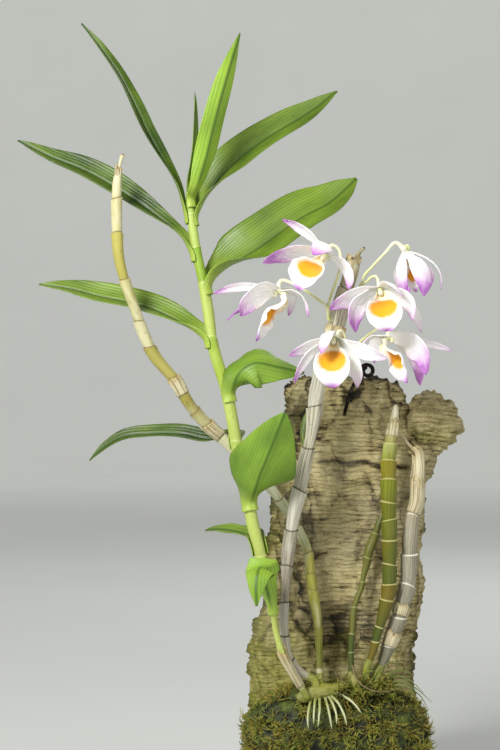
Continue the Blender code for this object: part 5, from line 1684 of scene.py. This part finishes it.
@dataclass
class CorkSlab:
    """The standing slab of cork bark, with the round knot at its upper right."""

    outline: tuple[Point, ...] = (
        (0, -52, 50), (18, -52, 50), (44, -51, 48), (66, -50, 46), (80, -50, 46), (92, -46, 48),
        (103, -42, 51), (125, -41, 51), (142, -39, 51), (160, -36, 52), (176, -35, 54), (186, -33, 58),
        (197, -32, 61), (205, -31, 50), (214, -31, 42), (224, -30, 42), (232, -29, 40), (240, -24, 33),
    )
    height: float = 240.0
    front_foot: float = 27.0
    front_top: float = 20.0
    back_foot: float = 36.0
    back_top: float = 12.0
    ridge: float = 3.2
    hollow_at: Point = (2, 0, 90)
    hollow_depth: float = 8.0
    round_steps: int = 250
    wall_steps: int = 215
    cap_steps: int = 12
    knot_at: Point = (58, -4, 215)
    knot_half: Point = (17, 14, 17)
    crack_height: float = 191.0
    finish: CorkFinish = CorkFinish(
        "weathered_cork_bark",
        depths=((0.0, "#1a140a"), (0.18, "#4b3f22"), (0.36, "#94855a"), (0.56, "#bcae7c"), (0.8, "#cfc394"), (1.0, "#e2d9b0")),
        grey="#a29a80", algae="#90912e",
    )

    def edge_at(self, height: float, column: int) -> float:
        """Reads the left (column 1) or right (column 2) edge at a height."""
        return profile([(row[0], row[column]) for row in self.outline], height)

    def relief(self, across: float, height: float, front: bool) -> float:
        """Gives the main ridges and the hollow at the plant's foot.

        Args:
            across: The place across the slab.
            height: The height.
            front: True on the slab's front.

        Returns:
            How far the skin stands out, in millimetres.
        """
        place = Vector((across / 11, height / 17, 3.7 if front else 9.1))
        ridges = self.ridge * noise.fractal(place, 0.8, 2.1, 3)
        if not front:
            return 0.5 * ridges
        knobs = 1 - 0.7 * max(0, noise.noise(Vector((across / 7, height / 7, 0))))
        return ridges - self.hollow_depth * self.sunk(across, height) * knobs

    def sunk(self, across: float, height: float) -> float:
        """Gives how deep in the hollow a place is, from nought outside it to one in its middle."""
        dx, dz = (across - self.hollow_at[0]) / 24, (height - self.hollow_at[2]) / 17
        return math.exp(-(dx * dx + dz * dz) ** 2)

    def bark(self, place: Vector, front: bool) -> float:
        """Gives the fine relief of the bark: level layers, upright folds, crumbs and cracks.

        Args:
            place: Where on the skin, in millimetres.
            front: True on the slab's front.

        Returns:
            How far the skin moves outwards, in millimetres. Cracks are below nought.
        """
        x, y, z = place
        crumbs = noise.fractal(Vector((x / 6, y / 6, z / 6)), 0.8, 2.2, 4)
        layers = noise.fractal(Vector((x / 22, y / 22, z / 2.6)), 0.7, 2.2, 3)
        folds = noise.fractal(Vector((x / 3.4, y / 5, z / 19)), 0.8, 2.1, 3)
        wander = 4 * noise.noise(Vector((x / 9, 2.2, z / 9)))
        upright = abs(noise.noise(Vector(((x + wander) / 15, y / 15, z / 34 + 3))))
        crossing = abs(noise.noise(Vector((x / 30, y / 15, (z + wander) / 13 + 9))))
        cracks = 2.6 * math.exp(-((upright / 0.045) ** 2)) + 1.8 * math.exp(-((crossing / 0.04) ** 2))
        rough = ease(x, 2, -24) if front else 0.25
        rough = max(rough, ease(z, 96, 78), ease(z, 214, 232))
        moved = (0.5 + 0.9 * rough) * crumbs + 0.75 * (1 - 0.5 * rough) * layers + (0.3 + rough) * folds
        moved -= cracks * (0.55 + 0.45 * rough)
        if front:
            line = self.crack_height + 2.2 * noise.noise(Vector((x / 11, 0, 4))) - 0.06 * (x - 10)
            reach = ease(x, -16, -4) * ease(x, 46, 36)
            moved -= 3.4 * reach * math.exp(-(((z - line) / 1.3) ** 2))
            moved += 0.9 * reach * math.exp(-(((z - line - 3.5) / 2.6) ** 2))
        return moved

    def skin(self) -> bmesh.types.BMesh:
        """Wraps a grid round into the slab, with a sawn foot and a broken top.

        Returns:
            The closed skin.
        """
        rows = 2 * self.cap_steps + self.wall_steps
        shape = blank_grid(self.round_steps, rows)
        place = shape.verts.layers.float_vector[PLACE]
        fronts = {}
        for vert in shape.verts:
            column = round((vert.co.x + 0.5) * self.round_steps) % self.round_steps
            row = round((vert.co.y + 0.5) * rows) - self.cap_steps
            turn = -2 * math.pi * column / self.round_steps
            share = min(max(row / self.wall_steps, 0), 1)
            inset = max(-row, row - self.wall_steps, 0) / self.cap_steps
            height = self.height * share
            left, right = self.edge_at(height, 1), self.edge_at(height, 2)
            middle, half = (left + right) / 2, (right - left) / 2
            c, s = math.cos(turn), math.sin(turn)
            across = middle + half * math.copysign(abs(c) ** 0.75, c)
            front = s < 0
            foot, top = (self.front_foot, self.front_top) if front else (self.back_foot, self.back_top)
            depth = (foot + (top - foot) * share) * math.copysign(abs(s) ** 0.7, s)
            push = self.relief(across, height, front) * min(1, 4 * share)
            across += push * c
            depth += push * s
            rim = 2.5 * noise.noise(Vector((across / 9, 0, 5))) * share ** 8
            keep = 1 - inset if row < 0 else math.cos(0.5 * math.pi * inset)
            if row > self.wall_steps:
                height += rim + 1.5 * math.sin(0.5 * math.pi * inset) - 2
            elif row >= 0:
                height += rim - 2 * ease(share, 0.96, 1)
            vert.co = Vector((middle + (across - middle) * keep, depth * keep, height)) * MM
            fronts[vert] = front
        shape.normal_update()
        moves = {}
        for vert in shape.verts:
            spot = vert.co / MM
            moved = self.bark(spot, fronts[vert] or spot.z > self.height - 6)
            held = ease(spot.z, 0.3, 6)
            moves[vert] = vert.normal * moved * held
            green = 0.35 * ease(spot.z, 120, 60) + 0.3 * ease(spot.x, -10, -35) + 0.2
            # Painted shade: the colour darkens in the hollow at the plant's foot and towards the slab's left side.
            shade = 0.3 * self.sunk(spot.x, spot.z) if fronts[vert] else 0.0
            shade += 0.14 * ease(spot.x, -12, -40)
            vert[place] = (0.57 + 0.17 * moved - shade, green, 0.0)
        for vert, move in moves.items():
            vert.co += move * MM
            vert.co.z = max(vert.co.z, 0)
        bmesh.ops.remove_doubles(shape, verts=shape.verts, dist=0.01 * MM)
        bmesh.ops.recalc_face_normals(shape, faces=shape.faces)
        return shape

    def knot(self) -> bmesh.types.BMesh:
        """Makes the knot: a lump of bark with a flat broken face and layered lips under it.

        Returns:
            The closed lump.
        """
        shape = bmesh.new()
        shape.verts.layers.float_vector.new(PATTERN)
        place = shape.verts.layers.float_vector.new(PLACE)
        bmesh.ops.create_icosphere(shape, subdivisions=6, radius=1)
        for vert in shape.verts:
            spot = Vector(self.knot_at) + vert.co * Vector(self.knot_half)
            spot += vert.co * 3.4 * noise.fractal(spot / 9, 0.9, 2.0, 3)
            x, y, z = spot
            layers = noise.fractal(Vector((x / 16, y / 16, z / 2.4)), 0.7, 2.2, 3)
            crumbs = noise.fractal(spot / 4.5, 0.8, 2.2, 4)
            low = ease(z, 216, 206)
            moved = (0.4 + 1.2 * low) * layers + (0.45 + 0.5 * ease(vert.co.z, 0.4, 0.8)) * crumbs
            vert[place] = (0.55 + 0.17 * moved, 0.25 + 0.3 * low, 0.0)
            vert.co = (spot + vert.co * moved) * MM
        return shape

    def build(self) -> None:
        """Makes the slab and its knot."""
        finish = self.finish.material()
        settle("cork_slab", self.skin(), [finish], "cork_bark", ["cork_bark"])
        settle("cork_knot", self.knot(), [finish], "cork_bark")


@dataclass
class MossBed:
    """The moss on the slab's foot: a cushion set with curled strands, dark partly in the moss's own colour and partly
    as painted shade under the strands.
    """

    middle: Point = (0, -21, 27)
    half: Point = (55, 36, 36)
    floor: float = 3.0
    lump: float = 3.0
    tufts: int = 515
    creepers: int = 60
    creep_from: Point = (0, -50, 60.5)
    creep_to: Point = (31, -46, 64.5)
    strands: int = 14
    kinds: int = 8
    strand_length: float = 6.0
    strand_radius: float = 0.4
    finish: MossFinish = MossFinish(
        "living_moss", root="#12160a", leaf="#56621a", tip="#a3a942", old="#a8903a",
    )

    def cushion(self) -> bmesh.types.BMesh:
        """Makes the cushion, a lumpy round block with a level foot.

        Returns:
            The closed cushion.
        """
        shape = bmesh.new()
        shape.verts.layers.float_vector.new(PATTERN)
        place = shape.verts.layers.float_vector.new(PLACE)
        bmesh.ops.create_uvsphere(shape, u_segments=120, v_segments=64, radius=1)
        for vert in shape.verts:
            box = Vector([math.copysign(abs(value) ** 0.8, value) for value in vert.co])
            spot = Vector(self.middle) + box * Vector(self.half)
            push = self.lump * noise.fractal(spot / 9, 0.7, 2.2, 3) + 1.4 * noise.fractal(spot / 2.5, 0.7, 2.2, 2)
            # The cushion takes the dark colour of the strands' roots and is a little paler where it bulges, partly the
            # moss's own colour and partly painted shade.
            vert[place] = (0.3, 0.1 + 0.12 * push, 0.0)
            vert.co = (spot + vert.co * (push - 1.5)) * MM
        low = Vector((0, 0, self.floor * MM))
        sawn = bmesh.ops.bisect_plane(
            shape, geom=[*shape.verts, *shape.edges, *shape.faces], plane_co=low, plane_no=(0, 0, 1),
            clear_inner=True,
        )
        rim = [item for item in sawn["geom_cut"] if isinstance(item, bmesh.types.BMEdge)]
        bmesh.ops.edgeloop_fill(shape, edges=rim)
        bmesh.ops.recalc_face_normals(shape, faces=shape.faces)
        return shape

    def tuft(self, draw: random.Random) -> bpy.types.Mesh:
        """Makes one tuft at the origin, its strands spreading from +Z.

        Args:
            draw: Where its chances come from.

        Returns:
            The tuft as a mesh.
        """
        grown = []
        for _ in range(self.strands):
            turn, spread = draw.uniform(0, 2 * math.pi), draw.uniform(0.15, 1.0)
            length = self.strand_length * draw.uniform(0.6, 1.15)
            away = Vector((math.cos(turn), math.sin(turn), 0))
            foot = away * draw.uniform(0, 2.2) + Vector((0, 0, -1.5))
            knee = foot + (away * spread * 0.45 + Vector((0, 0, 0.6))) * length
            tip = foot + (away * spread + Vector((0, 0, draw.uniform(0.35, 0.85)))) * length
            route = Route([foot, knee, tip], 3)
            distances = [route.length * row / 4 for row in range(5)]
            tone = draw.random()
            size = self.strand_radius * draw.uniform(0.7, 1.15)
            widths = (0.7, 1.0, 0.9, 0.6, 0.1)
            grown.append(tube(
                route, distances, lambda row, distance, angle: size * widths[row],
                lambda row, angle: (tone, row / 4, 0.0), sides=3, ends=False,
            ))
        mesh = bpy.data.meshes.new("tuft")
        whole = joined(grown)
        whole.to_mesh(mesh)
        whole.free()
        return mesh

    def strands_on(self, cushion: bmesh.types.BMesh) -> bmesh.types.BMesh:
        """Sets tufts all over the cushion's open side.

        Args:
            cushion: The cushion.

        Returns:
            All the strands.
        """
        draw = random.Random(41)
        kinds = [self.tuft(draw) for _ in range(self.kinds)]
        open_faces = [
            face for face in cushion.faces
            if self.is_open(face.calc_center_median() / MM, face.normal)
        ]
        areas = [face.calc_area() for face in open_faces]
        places = [
            (face.calc_center_median(), face.normal) for face in draw.choices(open_faces, areas, k=self.tufts)
        ]
        for _ in range(self.creepers):
            spot = Vector(self.creep_from).lerp(Vector(self.creep_to), draw.random())
            spot += Vector((0, draw.uniform(-4, 4), draw.uniform(-5, 2)))
            places.append((spot * MM, Vector((0, -0.7, 0.7))))
        whole = bmesh.new()
        for spot, normal in places:
            lean = Vector((draw.uniform(-0.5, 0.5), draw.uniform(-0.5, 0.3), draw.uniform(-0.7, 0.4)))
            grows = (normal + lean).normalized()
            turn = Matrix.Rotation(draw.uniform(0, 2 * math.pi), 4, "Z")
            stand = grows.to_track_quat("Z", "Y").to_matrix().to_4x4()
            scale = Matrix.Scale(draw.uniform(0.75, 1.2), 4)
            copy = draw.choice(kinds).copy()
            copy.transform(Matrix.Translation(spot) @ stand @ turn @ scale)
            whole.from_mesh(copy)
            bpy.data.meshes.remove(copy)
        for kind in kinds:
            bpy.data.meshes.remove(kind)
        return whole

    def is_open(self, spot: Vector, normal: Vector) -> bool:
        """Tells whether moss grows at a place of the cushion: outside the bark and above the foot."""
        return spot.z > self.floor + 5 and (spot.y < -22 or abs(spot.x) > 51) and normal.z > -0.75

    def build(self) -> None:
        """Makes the cushion and its strands."""
        finish = self.finish.material()
        cushion = self.cushion()
        cushion.normal_update()
        strands = self.strands_on(cushion)
        settle("moss_bed", cushion, [finish], "moss", ["moss_cushion"])
        settle("moss_strands", strands, [finish], "moss")


@dataclass
class Rhizome:
    """The creeping stem that the canes rise from, with its roots, a cut stump and the side shoot."""

    finish: StalkFinish = StalkFinish(
        "waxy_rhizome_skin", ((0.0, "#666c20"), (0.5, "#8b9034"), (1.0, "#70762a")), "#a89d68",
    )
    root_finish: StalkFinish = StalkFinish(
        "pale_root_skin", ((0.0, "#76802a"), (0.4, "#979c56"), (0.8, "#c0c29a"), (1.0, "#8fa052")), "#c9caa8",
    )
    dead_root_finish: StalkFinish = StalkFinish(
        "dry_root_skin", ((0.0, "#7a6a48"), (1.0, "#5b4d33")), "#a3946e", rough=0.7,
    )
    shoot_finish: StalkFinish = StalkFinish(
        "young_shoot_skin", ((0.0, "#5c6a1e"), (0.5, "#45561a"), (1.0, "#5f7426")), "#7f8e3a",
    )

    def build(self, canes: dict[str, Route]) -> None:
        """Makes the creeping stem, the roots and the side shoot.

        Args:
            canes: The canes' middle lines by name.
        """
        creeping = ((-24, -52, 56), (-12, -50, 60), (-3, -46, 60), (8, -42, 60), (22, -41, 63))
        stem = [simple_tube(creeping, ((0, 2.0), (0.1, 3.8), (0.5, 4.1), (0.9, 3.4), (1, 1.6)), rows=60, sides=24, knobs=0.8)]
        girths = {
            "flowering_cane": 2.4, "leafy_cane": 2.0, "bare_cane": 2.05, "green_cane": 2.0, "thin_cane": 1.7,
            "dry_cane": 2.7,
        }
        line = through(creeping, 3)
        for number, (name, route) in enumerate(canes.items()):
            foot, along = route.at(0)
            start = min(line, key=lambda place: (place - foot + 6 * along).length)
            radius = girths[name]
            stem.append(simple_tube(
                [start, foot - along * 4, foot + along * 1.5],
                ((0, 1.1 * radius), (0.4, radius), (0.7, 1.06 * radius), (1, 0.96 * radius)),
                rows=16, sides=20, tone=0.4, knobs=0.3, seed=number,
            ))
        stem.append(simple_tube(
            ((9.5, -46, 60), (9.5, -47, 66), (9.3, -47, 70)), ((0, 2.7), (0.5, 3.0), (0.9, 2.2), (1, 1.4)),
            rows=20, sides=18, tone=0.8, knobs=0.5,
        ))
        settle("rhizome_skin", joined(stem), [self.finish.material()], "rhizome", ["rhizome_and_roots"])

        fresh = (
            ((-15, -50, 58), (-17, -57, 52), (-18, -61, 46), (-17.5, -60, 40)),
            ((-13, -50, 58), (-14, -58, 53), (-14.5, -61, 48), (-14.5, -61, 43)),
            ((-11, -50, 58), (-11, -58, 52), (-11.5, -61, 47), (-12, -60, 41)),
            ((-8, -49, 58), (-6, -58, 51), (-5, -61, 46), (-4, -60, 40)),
            ((-6, -49, 58), (-3, -58, 53), (-1.5, -61, 48), (-1.4, -61, 43)),
            ((-5, -48, 58), (0, -57, 54), (3, -61, 48), (4.5, -60, 42)),
            ((-4, -47, 60), (3, -54, 58), (8, -58, 55), (13, -60, 49)),
        )
        roots = [
            simple_tube(line, ((0, 1.0), (0.5, 0.7), (0.9, 0.45), (1, 0.2)), rows=26, sides=10, tone=0.2 + 0.1 * n, knobs=0.15, seed=n)
            for n, line in enumerate(fresh)
        ]
        settle("living_roots", joined(roots), [self.root_finish.material()], "rhizome")

        dry = (
            ((8, -48, 75), (11, -56, 67), (18, -60, 62.5), (27, -60, 61.5), (36, -57, 64)),
            ((1, -50, 68), (-1, -55, 73), (3, -57, 76), (6, -56, 73)),
            ((-26, -42, 133), (-22, -44, 128), (-20, -45, 131), (-19, -43, 134)),
        )
        threads = [
            simple_tube(line, ((0, 0.5), (0.5, 0.42), (1, 0.15)), rows=30, sides=8, tone=0.2, knobs=0.1, seed=n)
            for n, line in enumerate(dry)
        ]
        settle("dry_roots", joined(threads), [self.dead_root_finish.material()], "rhizome")

        skin = self.shoot_finish.material()
        loose = (
            ((26, -46, 64), (33, -50, 69), (41, -53, 67), (49, -54, 60)),
            ((28, -45, 63), (36, -49, 66), (45, -51, 62), (54, -50, 54)),
            ((24, -47, 65), (30, -52, 71), (37, -55, 73), (43, -55, 70)),
            ((30, -44, 62), (38, -48, 63), (47, -49, 58), (52, -48, 50)),
            ((20, -47, 66), (24, -52, 73), (29, -54, 77), (34, -54, 77)),
            ((14, -48, 64), (15, -54, 70), (19, -57, 73), (24, -57, 71)),
        )
        blades = [
            simple_tube(line, ((0, 0.55), (0.5, 0.4), (1, 0.12)), rows=26, sides=8, tone=0.5, seed=n)
            for n, line in enumerate(loose)
        ]
        settle("loose_strands", joined(blades), [skin], "moss")

        shoot = simple_tube(
            ((-19.1, -48.6, 200.5), (-19.9, -46.1, 208), (-19.1, -44.8, 214), (-18.5, -44.6, 221)),
            ((0, 1.1), (0.3, 2.0), (0.55, 2.4), (0.8, 1.9), (1, 0.3)), rows=30, sides=18, tone=0.3,
        )
        settle("side_shoot_bud", shoot, [skin], "green_cane", ["side_shoot"])


@dataclass
class HangerWire:
    """The bent iron wire at the slab's top."""

    line: tuple[Point, ...] = ((4.8, -10, 217), (4.8, -20, 219.5), (5.5, -27.5, 224), (8, -29.5, 233), (12, -26, 241))
    curl_at: Point = (18.3, -23, 245.4)
    curl_radius: float = 4.2
    curl_turns: float = 1.3
    curl_steps: int = 28
    radius: float = 1.15
    finish: WireFinish = field(default_factory=WireFinish)

    def build(self) -> None:
        """Makes the wire."""
        points = through(self.line, 3)
        for step in range(self.curl_steps + 1):
            share = step / self.curl_steps
            turn = math.pi * (1.12 - 2 * self.curl_turns * share)
            reach = self.curl_radius * (1 - 0.55 * share)
            across, up = reach * math.cos(turn), reach * math.sin(turn)
            points.append(Vector(self.curl_at) + Vector((across, 3 * share, up)))
        shape = simple_tube(points, ((0, 1.15), (0.97, 1.15), (1, 0.8)), rows=150, sides=16)
        settle("iron_wire", shape, [self.finish.material()], "dark_wire", ["hanger_wire"])


@dataclass
class Studio:
    """The pale floor, the soft lights and the camera."""

    camera_at: Point = (-0.051, -1.350, 0.243)
    lens: float = 108.0
    sensor: float = 36.0
    floor_radius: float = 6.0
    wall_height: float = 4.0
    floor: FloorFinish = field(default_factory=FloorFinish)

    def camera(self) -> None:
        """Makes the camera, level and looking along +Y, as the photograph was taken."""
        data = bpy.data.cameras.new("camera")
        data.lens = self.lens
        data.sensor_width = self.sensor
        data.clip_end = 50
        thing = bpy.data.objects.new("camera", data)
        thing.location = self.camera_at
        thing.rotation_euler = (math.radians(90), 0, 0)
        bpy.context.scene.collection.objects.link(thing)
        bpy.context.scene.camera = thing

    def bowl(self) -> None:
        """Makes the floor: a wide shallow bowl, so that no edge shows from any side."""
        shape = bmesh.new()
        corner = 1.5
        profile_points = [(0.0, 0.0), (self.floor_radius - corner, 0.0)]
        profile_points += [
            (self.floor_radius - corner + corner * math.sin(t), corner - corner * math.cos(t))
            for t in (math.pi / 2 * step / 10 for step in range(1, 11))
        ]
        profile_points.append((self.floor_radius, self.wall_height))
        verts = [shape.verts.new((reach, 0, height)) for reach, height in profile_points]
        edges = [shape.edges.new(pair) for pair in zip(verts, verts[1:])]
        bmesh.ops.spin(
            shape, geom=[*verts, *edges], cent=(0, 0, 0), axis=(0, 0, 1), angle=2 * math.pi, steps=96,
            use_merge=True,
        )
        bmesh.ops.remove_doubles(shape, verts=shape.verts, dist=0.0001)
        bmesh.ops.recalc_face_normals(shape, faces=shape.faces)
        mesh = bpy.data.meshes.new("studio_floor")
        shape.to_mesh(mesh)
        shape.free()
        mesh.shade_smooth()
        mesh.materials.append(self.floor.material())
        thing = bpy.data.objects.new("studio_floor", mesh)
        bpy.context.scene.collection.objects.link(thing)
        thing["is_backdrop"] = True

    def light(self, name: str, place: Point, aim: Point, size: float, power: float) -> None:
        """Makes one soft light.

        Args:
            name: Its name.
            place: Where it stands, in metres.
            aim: What it points at.
            size: The width of its square face, in metres.
            power: Its power, in watts.
        """
        data = bpy.data.lights.new(name, "AREA")
        data.size = size
        data.energy = power
        thing = bpy.data.objects.new(name, data)
        thing.location = place
        thing.rotation_euler = (Vector(aim) - Vector(place)).to_track_quat("-Z", "Y").to_euler()
        bpy.context.scene.collection.objects.link(thing)

    def build(self) -> None:
        """Makes the camera, the floor and the lights."""
        self.camera()
        self.bowl()
        middle = (-0.04, -0.03, 0.24)
        self.light("key_light", (-0.75, -1.15, 1.05), middle, 0.45, 29)
        self.light("fill_light", (1.3, -1.1, 0.6), middle, 1.1, 6)
        self.light("back_light", (0.5, 1.2, 1.3), middle, 0.9, 11)
        world = bpy.data.worlds.new("soft_sky")
        world.use_nodes = True
        background = world.node_tree.nodes["Background"]
        background.inputs["Color"].default_value = linear("#e9edf0")
        background.inputs["Strength"].default_value = 0.22
        bpy.context.scene.world = world
        bpy.context.scene.view_settings.view_transform = "Standard"


def write_sizes() -> None:
    """Measures the solids' box and the visual model's box, in metres, and builds a table of them that nothing keeps.
    """
    boxes = {"cad": CAD_BOX, "visual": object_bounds()}
    {name: [list(corner) for corner in box] for name, box in boxes.items()}


def main() -> None:
    """Builds the studio and every sub-assembly in order."""
    logging.basicConfig(level=logging.INFO, format="%(name)s: %(message)s")
    Studio().build()
    CorkSlab().build()
    MossBed().build()
    HangerWire().build()
    canes = Canes().build()
    Rhizome().build(canes)
    LeafyShoot().build(canes["leafy_cane"])
    Spray().build(canes["flowering_cane"])
    write_sizes()


if __name__ == "__main__":
    main()
